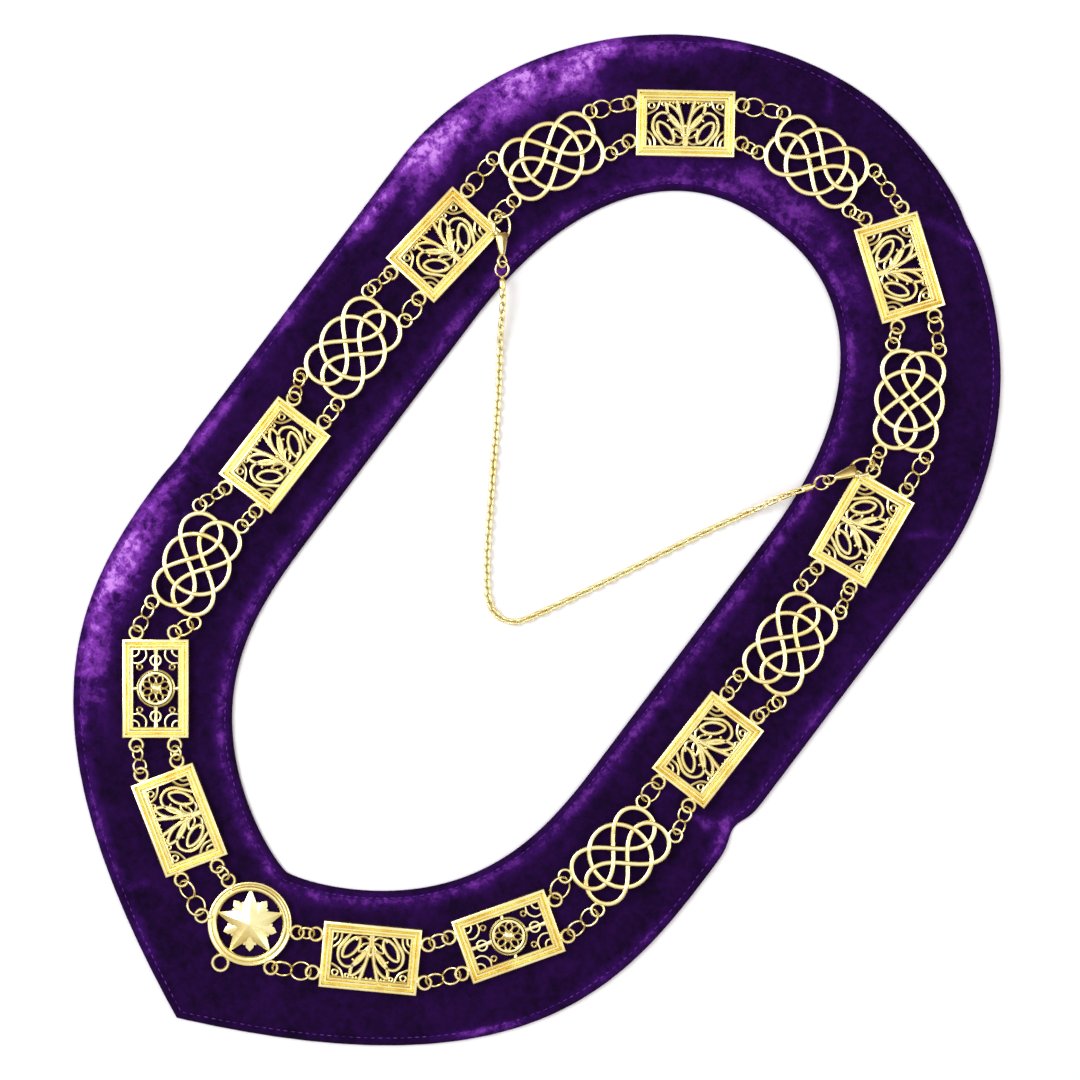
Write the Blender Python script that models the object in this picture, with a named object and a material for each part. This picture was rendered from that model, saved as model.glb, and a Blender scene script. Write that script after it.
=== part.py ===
# Chain collar: eighteen gilt plates linked by two rows of rings on a ring-shaped velvet band.
# The band lies flat on the floor plane, its pointed front toward -Y, its back toward +Y. Lengths are metres.
import math

import bpy
import bmesh
from mathutils import Matrix, Vector
from mathutils.geometry import delaunay_2d_cdt

# Velvet band, measured from the middle of the collar
BAND_HALF_WIDTH = 0.1525
BAND_BACK = 0.2597
BAND_FRONT = 0.2597
BAND_BACK_CURVE = 0.1487
BAND_FRONT_TAPER = 0.2007
NECK_HALF_WIDTH = 0.0824
NECK_BACK = 0.187
NECK_FRONT = 0.1775
NECK_BACK_CURVE = 0.116
NECK_FRONT_CURVE = 0.1285
BAND_THICKNESS = 0.0022
HEM_THICKNESS = 0.0028
HEM_WIDTH = 0.0036
BAND_STATIONS = 32
BAND_TURN_WEIGHT = 1.2

# Clearance between pieces that touch
CLEARANCE = 0.0003

# Rings and cast lugs
RING_WIRE = 0.00085
RING_SIDES = 10
WIRE_SIDES = 5
RING_RADIUS_LEAST = 0.0032
RING_SLACK = 0.0013
RING_ROLL_MOST = math.radians(40)
RING_RISE = 0.00325
LONG_ROW = 0.020
FUSED_SHARE = 0.55
LUG_RADIUS = 0.0029
LUG_WIRE = 0.0009
LUG_THICKNESS = 0.0008
LUG_STANDOFF = 0.00015
EYE_FOOT = 0.75

# Framed plates
PLATE_LENGTH = 0.0445
PLATE_WIDTH = 0.0300
PLATE_THICKNESS = 0.0038
FRAME_WIDTH = 0.0056
FRAME_STEP = 0.0006
PLATE_LUG_SPREAD = 0.0172
FRET_THICKNESS = 0.0012
FRET_WIRE = 0.0013
ROSETTE_RADIUS = 0.0064
ROSETTE_HUB = 0.0021

# Knot links
KNOT_HALF_LENGTH = 0.022
KNOT_LOOP_OFFSET = 0.0047
KNOT_LOOP_RISE = 0.0092
KNOT_RING_LENGTH = 0.0266
KNOT_RING_WIDTH = 0.0298
KNOT_STRAND = 0.0017
KNOT_THICKNESS = 0.0018
KNOT_LUG_ANGLE = 0.27
KNOT_RING_SIDES = 8
KNOT_LOOP_SIDES = 12
KNOT_LEAST_GAP = 32e-6

# Gaps in cast work that would close up in the casting
LEAST_GAP = 1e-6

# Star medallion
STAR_DIAMETER = 0.038
STAR_RIM = 0.0042
STAR_RIM_THICKNESS = 0.0038
STAR_RIM_SIDES = 16
STAR_RIM_EDGE = 0.86
STAR_POINT_RADIUS = 0.0157
STAR_RELIEF = 0.0024
STAR_LUG_ANGLE = math.radians(27)
STAR_LOOP_RADIUS = 0.0035
STAR_LOOP_WIRE = 0.0015

# Lobster clasps
CLASP_LENGTH = 0.0250
CLASP_TAIL_RADIUS = 0.00245
CLASP_TAIL_WIRE = 0.0011
CLASP_NECK_WIDTH = 0.0026
CLASP_BODY_WIDTH = 0.0062
CLASP_MOUTH_WIDTH = 0.0100
CLASP_MOUTH_LENGTH = 0.0098
CLASP_CLAW_WIRE = 0.0014
CLASP_THICKNESS = 0.0024
CLASP_CLAW_THICKNESS = 0.0013
CLASP_SLACK = 0.00065
LEVER_WIRE = 0.0011
LEVER_THICKNESS = 0.0008
LEVER_SLOT = 0.0012
LEVER_HUB = 0.0012
LEVER_PIN = 0.00045
LEVER_PIVOT_ANGLE = 218
LEVER_ARM_ANGLES = [206, 190, 175, 166]
CLAW_ANGLES = [-58, -30, 0, 30, 60, 90, 120, 154]

# Back chain
CHAIN_WIDTH = 0.0030
CHAIN_RING_RADIUS = 0.0034
CHAIN_RING_WIRE = 0.001
CHAIN_RING_SLACK = 0.0012

# Where each plate lies on the band: kind, place of its middle, and the way its length points
LINK_ROUTE = [
    ("star", 0.0008, -0.2053, 0.0),
    ("filigree", 0.0534, -0.1850, 31.6),
    ("rosette", 0.0971, -0.1398, 56.6),
    ("knot", 0.1154, -0.0806, 80.7),
    ("filigree", 0.1181, -0.0188, 89.2),
    ("knot", 0.1189, 0.0414, 92.6),
    ("filigree", 0.1136, 0.1019, 97.0),
    ("knot", 0.0961, 0.1609, 120.0),
    ("filigree", 0.0566, 0.2060, 143.8),
    ("knot", -0.0019, 0.2215, 184.5),
    ("filigree", -0.0592, 0.1999, 215.8),
    ("knot", -0.0983, 0.1520, 243.0),
    ("filigree", -0.1134, 0.0908, 264.0),
    ("knot", -0.1179, 0.0295, 268.0),
    ("filigree", -0.1170, -0.0302, 269.5),
    ("knot", -0.1154, -0.0904, 280.7),
    ("rosette", -0.0966, -0.1463, 307.0),
    ("filigree", -0.0525, -0.1871, 328.0),
]

# Where the back chain lies: x, y, and its height as a share of the way from the floor to its end rings
CHAIN_ROUTE = [
    (-0.0765, 0.0865, 0.94),
    (-0.0697, 0.0759, 0.55),
    (-0.0640, 0.0675, 0.12),
    (-0.0518, 0.0499, 0.0),
    (-0.0346, 0.0234, 0.0),
    (-0.0175, -0.0031, 0.0),
    (-0.0084, -0.0159, 0.0),
    (-0.0014, -0.0240, 0.0),
    (0.0058, -0.0276, 0.0),
    (0.0136, -0.0258, 0.0),
    (0.0193, -0.0185, 0.0),
    (0.0349, 0.0111, 0.0),
    (0.0573, 0.0561, 0.0),
    (0.0668, 0.0740, 0.12),
    (0.0718, 0.0833, 0.55),
    (0.0775, 0.0938, 0.94),
]
CHAIN_STEP = 0.0090

# One fifth of the star's outline: turn in degrees, and radius as a share of its long points' radius
STAR_OUTLINE = [
    (0, 1.00),
    (28, 0.51),
    (36, 0.77),
    (44, 0.51),
]

# Corners of a cast eye ahead of its foot: how far ahead of its middle and how far beside, as shares of its radius
EYE_CORNERS = [
    (0.30, -1.00),
    (1.05, 0.00),
    (0.30, 1.00),
]

# Section of a plate's frame, from its outside edge inward: share of the frame's width, share of its thickness
FRAME_SECTION = [
    (0.00, 0.00),
    (0.00, 1.00),
    (0.42, 1.00),
    (0.50, 1.00 - FRAME_STEP / PLATE_THICKNESS),
    (1.00, 1.00 - FRAME_STEP / PLATE_THICKNESS),
    (1.00, 0.00),
]

# Petals of the filigree fan: turn from the fan's middle, length and width as shares of the window's width
FAN_PETALS = [
    (-66.0, 1.60, 0.20),
    (-24.0, 1.10, 0.22),
    (24.0, 1.10, 0.22),
    (66.0, 1.60, 0.20),
]

# Folds in the band: place round it from the front point as a share, width, how far it draws the outer edge in, and
# the share of the cloth's height that it sinks by
BAND_FOLDS = [
    {"place": 0.215, "width": 0.011, "draw": 0.0034, "sink": 0.45},
    {"place": 0.446, "width": 0.010, "draw": 0.0010, "sink": 0.30},
    {"place": 0.797, "width": 0.012, "draw": 0.0012, "sink": 0.30},
]

# Each clasp: the row whose neck-side ring it holds and where round that ring's rim, the way it points and tips, its
# roll about its own length, how far the rim sits beside its middle as a share of its mouth, and its end ring's roll
CLASP_PLACES = [
    {
        "side": "left", "row": 12, "rim": 38.3, "heading": 127.0, "pitch": 1.0,
        "roll": 36.2, "shift": -0.009, "ring_roll": 30.0,
    },
    {
        "side": "right", "row": 7, "rim": 130.1, "heading": 58.6, "pitch": 0.3,
        "roll": 144.5, "shift": -0.045, "ring_roll": -30.0,
    },
]

PLATE_BACK = BAND_THICKNESS + CLEARANCE
EDGE_MERGE = 1e-6


def empty_scene():
    for thing in list(bpy.data.objects):
        bpy.data.objects.remove(thing, do_unlink=True)
    for group in list(bpy.data.collections):
        bpy.data.collections.remove(group)


def new_collection(name):
    group = bpy.data.collections.new(name)
    bpy.context.scene.collection.children.link(group)
    return group


def new_material(name, color, metallic, roughness):
    material = bpy.data.materials.new(name)
    material.use_nodes = True
    shader = material.node_tree.nodes["Principled BSDF"]
    shader.inputs["Base Color"].default_value = color
    shader.inputs["Metallic"].default_value = metallic
    shader.inputs["Roughness"].default_value = roughness
    return material


def place(name, mesh, material, matrix=None):
    body = bpy.data.objects.new(name, mesh)
    collar.objects.link(body)
    if matrix is not None:
        body.matrix_world = matrix
    if not mesh.materials:
        mesh.materials.append(material)
    return body


def mesh_of(name, points, faces):
    mesh = bpy.data.meshes.new(name)
    mesh.from_pydata([tuple(point) for point in points], [], faces)
    mesh.validate()
    return mesh


# One mesh from several: each later one is joined to the first, and the cutters cut it.
def fused(name, meshes, cutters=()):
    helpers = []
    for mesh in list(meshes) + list(cutters):
        helper = bpy.data.objects.new(name + "_piece", mesh)
        helper.hide_render = True
        helper.display_type = "WIRE"
        tools.objects.link(helper)
        helpers.append(helper)
    first = helpers[0]
    for helper in helpers[1:]:
        boolean = first.modifiers.new("Boolean", "BOOLEAN")
        boolean.operation = "UNION" if helpers.index(helper) < len(meshes) else "DIFFERENCE"
        boolean.object = helper
    bpy.context.view_layer.update()
    evaluated = first.evaluated_get(bpy.context.evaluated_depsgraph_get())
    result = bpy.data.meshes.new_from_object(evaluated)
    result.name = name
    for helper in helpers:
        bpy.data.objects.remove(helper, do_unlink=True)
    flatten(result)
    return result


# Merges coincident points and the triangles that lie in one plane.
def flatten(mesh):
    work = bmesh.new()
    work.from_mesh(mesh)
    bmesh.ops.remove_doubles(work, verts=work.verts, dist=EDGE_MERGE)
    bmesh.ops.dissolve_limit(work, angle_limit=math.radians(0.05), verts=work.verts, edges=work.edges)
    bmesh.ops.triangulate(work, faces=work.faces)
    work.to_mesh(mesh)
    work.free()


def moved(mesh, matrix):
    copy = mesh.copy()
    copy.transform(matrix)
    return copy


# The two edges of a strip that follows points with the given width, mitred at its corners.
def strip_edges(points, width, closed):
    count = len(points)
    left = []
    right = []
    for index, point in enumerate(points):
        before = points[index - 1] if closed or index else None
        after = points[(index + 1) % count] if closed or index < count - 1 else None
        into = (point - before).normalized() if before is not None else (after - point).normalized()
        out = (after - point).normalized() if after is not None else into
        along = (into + out).normalized()
        normal = Vector((-along.y, along.x))
        reach = width / 2 / max(normal.dot(Vector((-into.y, into.x))), 0.3)
        left.append(point + normal * reach)
        right.append(point - normal * reach)
    return left, right


def strip(points, width, closed=True):
    points = [Vector(point) for point in points]
    left, right = strip_edges(points, width, closed)
    count = len(points)
    quads = []
    for index in range(count if closed else count - 1):
        after = (index + 1) % count
        quads.append([left[index], left[after], right[after], right[index]])
    loops = [left, right] if closed else [left + right[::-1]]
    return {"loops": loops, "patches": quads}


# A patch whose corners stop a little way inside the frame round the window.
def clipped(shape, half_length, half_width):
    margin = FRAME_WIDTH * 0.3
    points = []
    for point in shape["loops"][0]:
        x = min(max(point.x, -half_length - margin), half_length + margin)
        y = min(max(point.y, -half_width - margin), half_width + margin)
        points.append((x, y))
    return patch(points)


def patch(points):
    points = [Vector(point) for point in points]
    return {"loops": [points], "patches": [points]}


def round_points(centre, radius, count, turn=0.0):
    return [
        (
            centre[0] + radius * math.cos(turn + 2 * math.pi * step / count),
            centre[1] + radius * math.sin(turn + 2 * math.pi * step / count),
        )
        for step in range(count)
    ]


def inside(point, outline):
    found = False
    for one, two in zip(outline, outline[1:] + outline[:1]):
        if (one.y > point.y) != (two.y > point.y):
            cross = one.x + (point.y - one.y) / (two.y - one.y) * (two.x - one.x)
            if point.x < cross:
                found = not found
    return found


def covered(point, patches):
    return any(inside(point, outline) for outline in patches)


# A flat pierced layer: whatever no strip or patch covers is left open, down to the least gap's area.
def pierced_layer(name, shapes, low, high, least_gap=LEAST_GAP):
    points = []
    edges = []
    patches = []
    for shape in shapes:
        patches += shape["patches"]
        for loop in shape["loops"]:
            start = len(points)
            points += loop
            edges += [(start + step, start + (step + 1) % len(loop)) for step in range(len(loop))]
    flat_points, _, flat_faces, _, _, _ = delaunay_2d_cdt(points, edges, [], 0, EDGE_MERGE)
    work = bmesh.new()
    corners = [work.verts.new((point.x, point.y, 0)) for point in flat_points]
    for face in flat_faces:
        work.faces.new([corners[index] for index in face])
    bmesh.ops.recalc_face_normals(work, faces=work.faces)
    bare = [face for face in work.faces if not covered(face.calc_center_median().xy, patches)]
    for group in joined_groups(bare):
        if at_border(group) or sum(face.calc_area() for face in group) > least_gap:
            bmesh.ops.delete(work, geom=group, context="FACES")
    loose = [corner for corner in work.verts if not corner.link_faces]
    bmesh.ops.delete(work, geom=loose, context="VERTS")
    bmesh.ops.recalc_face_normals(work, faces=work.faces)
    bmesh.ops.dissolve_limit(work, angle_limit=math.radians(1), verts=work.verts, edges=work.edges)
    return thickened(name, work, low, high)


def joined_groups(faces):
    left = set(faces)
    groups = []
    while left:
        group = [left.pop()]
        for face in group:
            for edge in face.edges:
                for other in edge.link_faces:
                    if other in left:
                        left.remove(other)
                        group.append(other)
        groups.append(group)
    return groups


def at_border(group):
    return any(len(edge.link_faces) == 1 for face in group for edge in face.edges)


# Closed solid between two heights over the faces of a flat mesh.
def thickened(name, work, low, high):
    work.verts.index_update()
    work.verts.ensure_lookup_table()
    count = len(work.verts)
    points = [(v.co.x, v.co.y, low) for v in work.verts] + [(v.co.x, v.co.y, high) for v in work.verts]
    faces = []
    for face in work.faces:
        loop = [corner.index for corner in face.verts]
        if face.normal.z < 0:
            loop.reverse()
        faces.append([index + count for index in loop])
        faces.append(loop[::-1])
        for one, two in zip(loop, loop[1:] + loop[:1]):
            edge = work.edges.get((work.verts[one], work.verts[two]))
            if len(edge.link_faces) == 1:
                faces.append([one, two, two + count, one + count])
    work.free()
    return mesh_of(name, points, faces)


# A round or square rim lofted from a section: each row of the section is a ring of corners.
def lofted(name, rings):
    count = len(rings[0])
    points = [point for ring in rings for point in ring]
    faces = []
    for row in range(len(rings)):
        after = (row + 1) % len(rings)
        for step in range(count):
            turn = (step + 1) % count
            faces.append((row * count + step, row * count + turn, after * count + turn, after * count + step))
    return mesh_of(name, points, faces)


# A cast eye that stands on the edge behind it and opens the way it points.
def eye(x, y, facing, radius=LUG_RADIUS, wire=LUG_WIRE):
    along = Vector((math.cos(facing), math.sin(facing)))
    across = Vector((-along.y, along.x))
    foot = -1 - (LUG_STANDOFF + wire / 2) / radius
    corners = [(foot, -EYE_FOOT)] + EYE_CORNERS + [(foot, EYE_FOOT)]
    middle = Vector((x, y))
    points = [middle + (along * ahead + across * beside) * radius for ahead, beside in corners]
    return strip(points, wire, closed=False)


def lugs(centres):
    shapes = [eye(x, y, facing) for x, y, facing in centres]
    return pierced_layer("lugs", shapes, RING_RISE - LUG_THICKNESS / 2, RING_RISE + LUG_THICKNESS / 2)


def plate_lug_centres():
    reach = PLATE_LENGTH / 2 + LUG_RADIUS + LUG_STANDOFF
    up = PLATE_LUG_SPREAD / 2
    return [(reach, up, 0.0), (reach, -up, 0.0), (-reach, up, math.pi), (-reach, -up, math.pi)]


def plate_frame():
    rings = []
    for inset, rise in FRAME_SECTION:
        across = PLATE_LENGTH / 2 - inset * FRAME_WIDTH
        up = PLATE_WIDTH / 2 - inset * FRAME_WIDTH
        height = rise * PLATE_THICKNESS
        corners = [(across, up), (-across, up), (-across, -up), (across, -up)]
        rings.append([(x, y, height) for x, y in corners])
    return lofted("plate_frame", rings)


def window():
    return PLATE_LENGTH / 2 - FRAME_WIDTH, PLATE_WIDTH / 2 - FRAME_WIDTH


def framed_plate(name, shapes):
    low = (PLATE_THICKNESS - FRET_THICKNESS) * 0.55
    fret = pierced_layer("fret", shapes, low, low + FRET_THICKNESS)
    return fused(name, [plate_frame(), fret, lugs(plate_lug_centres())])


# The filigree: a fan of leaves that springs from the middle of the plate's neck side.
def filigree_mesh():
    half_length, half_width = window()
    root = Vector((0, half_width * 1.05))
    shapes = []
    for turn, length, width in FAN_PETALS:
        angle = math.radians(turn - 90)
        along = Vector((math.cos(angle), math.sin(angle)))
        across = Vector((-along.y, along.x)) * width * half_width
        long = along * length * half_width
        leaf = [
            root - across * 0.4,
            root + long * 0.5 - across,
            root + long * 2,
            root + long * 0.5 + across,
            root + across * 0.4,
        ]
        shapes.append(clipped(patch(leaf), half_length, half_width))
    return framed_plate("filigree_plate", shapes)


# A plain rosette in a round rim, carried in the window by four bars.
def rosette_mesh():
    half_length, half_width = window()
    shapes = [strip(round_points((0, 0), ROSETTE_RADIUS, 8), FRET_WIRE)]
    shapes.append(patch(round_points((0, 0), ROSETTE_HUB, 6, math.pi / 6)))
    for reach, along in ((half_length, Vector((1, 0))), (half_width, Vector((0, 1)))):
        shapes.append(
            strip([-along * (reach + FRET_WIRE), along * (reach + FRET_WIRE)], FRET_WIRE, closed=False)
        )
    return framed_plate("rosette_plate", shapes)


def knot_loop(side, count):
    points = []
    for step in range(count):
        angle = 2 * math.pi * (step + 0.5) / count
        points.append(
            (
                KNOT_HALF_LENGTH * math.cos(angle),
                side * (KNOT_LOOP_OFFSET + KNOT_LOOP_RISE * math.sin(2 * angle)),
            )
        )
    return points


def knot_lug_centres():
    angle = KNOT_LUG_ANGLE
    point = Vector(
        (KNOT_HALF_LENGTH * math.cos(angle), KNOT_LOOP_OFFSET + KNOT_LOOP_RISE * math.sin(2 * angle))
    )
    tangent = Vector((-KNOT_HALF_LENGTH * math.sin(angle), 2 * KNOT_LOOP_RISE * math.cos(2 * angle)))
    outward = Vector((tangent.y, -tangent.x)).normalized()
    centre = point + outward * (LUG_RADIUS + 2 * LUG_STANDOFF)
    facing = math.atan2(outward.y, outward.x)
    return [
        (end * centre.x, side * centre.y, side * facing if end > 0 else math.pi - side * facing)
        for end in (1, -1)
        for side in (1, -1)
    ]


# Three closed strands: two crossed loops side by side, and an oval ring through the middle.
def knot_mesh():
    oval = [
        (KNOT_RING_LENGTH / 2 * math.cos(angle), KNOT_RING_WIDTH / 2 * math.sin(angle))
        for angle in (2 * math.pi * (step + 0.5) / KNOT_RING_SIDES for step in range(KNOT_RING_SIDES))
    ]
    shapes = [strip(oval, KNOT_STRAND)]
    for side in (1, -1):
        shapes.append(strip(knot_loop(side, KNOT_LOOP_SIDES), KNOT_STRAND))
    low = RING_RISE - KNOT_THICKNESS / 2
    strands = pierced_layer("strands", shapes, low, low + KNOT_THICKNESS, KNOT_LEAST_GAP)
    return fused("knot_link", [strands, lugs(knot_lug_centres())])


def star_lug_centres():
    reach = STAR_DIAMETER / 2 + LUG_RADIUS - LUG_STANDOFF
    angles = [STAR_LUG_ANGLE, -STAR_LUG_ANGLE, math.pi - STAR_LUG_ANGLE, math.pi + STAR_LUG_ANGLE]
    return [(reach * math.cos(angle), reach * math.sin(angle), angle) for angle in angles]


# Five long points with a short one between each two, rising in flat facets to one middle.
def faceted_star(name, low, edge, peak):
    outline = []
    for step in range(5):
        for turn, radius in STAR_OUTLINE:
            angle = -math.pi / 2 + math.radians(72 * step + turn)
            reach = radius * STAR_POINT_RADIUS
            outline.append((reach * math.cos(angle), reach * math.sin(angle)))
    count = len(outline)
    points = [(x, y, low) for x, y in outline] + [(x, y, edge) for x, y in outline]
    points += [(0, 0, low), (0, 0, peak)]
    faces = []
    for step in range(count):
        after = (step + 1) % count
        faces.append((step, after, after + count, step + count))
        faces.append((after, step, 2 * count))
        faces.append((step + count, after + count, 2 * count + 1))
    return mesh_of(name, points, faces)


def star_mesh():
    outer = STAR_DIAMETER / 2
    inner = outer - STAR_RIM
    top = STAR_RIM_THICKNESS
    section = [
        (outer, 0),
        (outer, top * STAR_RIM_EDGE),
        ((outer + inner) / 2, top),
        (inner, top * STAR_RIM_EDGE),
        (inner, 0),
    ]
    rings = [[(x, y, z) for x, y in round_points((0, 0), r, STAR_RIM_SIDES)] for r, z in section]
    rim = lofted("rim", rings)
    low = (STAR_RIM_THICKNESS - STAR_RELIEF) * 0.6
    star = faceted_star("star", low, low + STAR_RELIEF / 3, low + STAR_RELIEF)
    reach = STAR_DIAMETER / 2 + STAR_LOOP_RADIUS - STAR_LOOP_WIRE / 2 + LUG_STANDOFF
    hanger = eye(0, -reach, -math.pi / 2, STAR_LOOP_RADIUS, STAR_LOOP_WIRE)
    loop = pierced_layer("loop", [hanger], RING_RISE - LUG_THICKNESS * 1.5, RING_RISE - LUG_THICKNESS / 2)
    return fused("star_medallion", [rim, star, lugs(star_lug_centres()), loop])


def link_matrix(x, y, turn):
    return Matrix.Translation((x, y, PLATE_BACK)) @ Matrix.Rotation(math.radians(turn), 4, "Z")


# The lug of a plate toward the next plate or the one before, on its neck side or its outer side.
def lug_point(link, toward, side):
    kind, x, y, turn = link
    if kind == "star":
        centres = star_lug_centres()
    elif kind == "knot":
        centres = knot_lug_centres()
    else:
        centres = plate_lug_centres()
    chosen = next(c for c in centres if (c[0] > 0) == (toward > 0) and (c[1] > 0) == (side > 0))
    return link_matrix(x, y, turn) @ Vector((chosen[0], chosen[1], RING_RISE))


def ring_mesh(radius, wire, sides=RING_SIDES):
    bpy.ops.mesh.primitive_torus_add(
        major_segments=sides, minor_segments=WIRE_SIDES, major_radius=radius, minor_radius=wire / 2
    )
    ring = bpy.context.object
    mesh = ring.data
    bpy.data.objects.remove(ring, do_unlink=True)
    return mesh


# How a row between two lugs is filled: how many rings, their radius, and how far each is rolled.
def row_plan(start, end, side):
    length = (end - start).length
    count = 1
    if side < 0:
        count = 3 if length > LONG_ROW else 2
    overlap = FUSED_SHARE * RING_WIRE
    reach = LUG_RADIUS - (RING_WIRE + LUG_WIRE) / 2 - RING_SLACK
    radius = max((length - 2 * reach + (count - 1) * overlap) / (2 * count), RING_RADIUS_LEAST)
    spacing = 2 * radius - overlap
    roll = min(math.asin(min((RING_RISE - RING_WIRE / 2) / radius, 1)), RING_ROLL_MOST)
    return count, radius, spacing, roll


def ring_row(name, start, end, side):
    count, radius, spacing, roll = row_plan(start, end, side)
    along = (end - start).normalized()
    across = Vector((-along.y, along.x, 0))
    up = Vector((0, 0, 1))
    middle = (start + end) / 2
    rings = []
    for step in range(count):
        angle = roll if step % 2 == 0 else -roll
        tilted = across * math.cos(angle) + up * math.sin(angle)
        normal = along.cross(tilted)
        turn = Matrix((along, tilted, normal)).transposed().to_4x4()
        centre = along * spacing * (step - (count - 1) / 2)
        rings.append(moved(ring_mesh(radius, RING_WIRE), Matrix.Translation(centre) @ turn))
    mesh = fused(name, rings) if count > 1 else rings[0]
    return place(name, mesh, gold, Matrix.Translation(middle))


def squircle(share, power_out, power_in):
    return (1 - min(share, 1) ** power_in) ** (1 / power_out)


# Half of an oval outline, from the front point round its right side to the back, as points (x, y).
def half_outline(half, back, front, back_curve, front_curve, shape):
    points = []
    steps = 240
    low = -front + front_curve
    high = back - back_curve
    for step in range(steps + 1):
        share = 1 - math.sin(math.pi / 2 * step / steps)
        points.append((half * squircle(share, shape["front_q"], shape["front_p"]), low - front_curve * share))
    for step in range(steps + 1):
        share = math.sin(math.pi / 2 * step / steps)
        points.append((half * squircle(share, shape["back_q"], shape["back_p"]), high + back_curve * share))
    return [Vector(point) for point in points]


# The point and outward direction at a share of the way round a closed outline that starts at its front.
def outline_sampler(half):
    loop = half + [Vector((-point.x, point.y)) for point in half[::-1]]
    lengths = [0.0]
    for one, two in zip(loop, loop[1:]):
        lengths.append(lengths[-1] + (two - one).length)

    def sample(share):
        target = (share % 1.0) * lengths[-1]
        index = next(i for i in range(1, len(lengths)) if lengths[i] >= target)
        part = (target - lengths[index - 1]) / max(lengths[index] - lengths[index - 1], 1e-12)
        return loop[index - 1].lerp(loop[index], part)

    return sample, lengths[-1]


# Shares of the way round a closed outline, closer together where it turns.
def station_shares(sample, count):
    fine = 360
    points = [sample(step / fine) for step in range(fine)]
    steps = [points[(index + 1) % fine] - points[index] for index in range(fine)]
    turns = [abs(steps[index - 1].angle_signed(steps[index])) for index in range(1, fine)]
    progress = [0.0]
    for turn in turns + [0.0]:
        progress.append(progress[-1] + 1 / fine + BAND_TURN_WEIGHT * turn / (2 * math.pi))
    shares = []
    for station in range(count):
        target = progress[-1] * station / count
        shares.append(next(index for index, done in enumerate(progress) if done >= target) / fine)
    return set(shares)


# Section of the band from its neck edge to its outer edge: which edge, inset from it, height.
def band_section():
    edge = [(HEM_THICKNESS * 0.2, 0.0), (0.0, HEM_THICKNESS * 0.85), (HEM_WIDTH, BAND_THICKNESS)]
    return [("neck", inset, z) for inset, z in edge] + [("outer", inset, z) for inset, z in edge[::-1]]


def velvet_band():
    outer_shape = {"back_p": 1.9, "back_q": 1.9, "front_p": 2.95, "front_q": 1.0}
    neck_shape = {"back_p": 2.3, "back_q": 2.3, "front_p": 3.0, "front_q": 1.3}
    outer, length = outline_sampler(
        half_outline(BAND_HALF_WIDTH, BAND_BACK, BAND_FRONT, BAND_BACK_CURVE, BAND_FRONT_TAPER, outer_shape)
    )
    neck, _ = outline_sampler(
        half_outline(NECK_HALF_WIDTH, NECK_BACK, NECK_FRONT, NECK_BACK_CURVE, NECK_FRONT_CURVE, neck_shape)
    )
    stations = station_shares(outer, BAND_STATIONS)
    for fold in BAND_FOLDS:
        spread = fold["width"] / length
        stations = {share for share in stations if abs(share - fold["place"]) > 1.6 * spread}
        stations |= {fold["place"] + step * spread for step in (-1.2, -0.5, 0.0, 0.5, 1.2)}
    rings = []
    for share in sorted(stations):
        away = outer(share)
        near = neck(share)
        across = (away - near).normalized()
        draw = 0.0
        sink = 0.0
        for fold in BAND_FOLDS:
            swell = math.exp(-((share - fold["place"]) * length / fold["width"] / 0.7) ** 2)
            draw += fold["draw"] * swell
            sink += fold["sink"] * swell
        away = away - across * draw
        ring = []
        for edge, inset, height in band_section():
            spot = near + across * inset if edge == "neck" else away - across * inset
            ring.append((spot.x, spot.y, height * (1 - sink) if edge == "outer" else height))
        rings.append(ring)
    return place("velvet_band", lofted("velvet_band", rings), velvet)


# The lobster clasp in its own plane: tail loop round the origin, claw toward +Y, lever on -X.
def clasp_frame():
    top = CLASP_LENGTH - CLASP_TAIL_RADIUS - CLASP_TAIL_WIRE / 2
    half_long = (CLASP_MOUTH_LENGTH + CLASP_CLAW_WIRE) / 2
    half_wide = (CLASP_MOUTH_WIDTH - CLASP_CLAW_WIRE) / 2
    middle = top - CLASP_CLAW_WIRE / 2 - half_long
    return top, middle, half_long, half_wide


def mouth_point(angle):
    top, middle, half_long, half_wide = clasp_frame()
    angle = math.radians(angle)
    return Vector((half_wide * math.cos(angle), middle + half_long * math.sin(angle)))


def lever_pivot():
    return mouth_point(LEVER_PIVOT_ANGLE)


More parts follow.
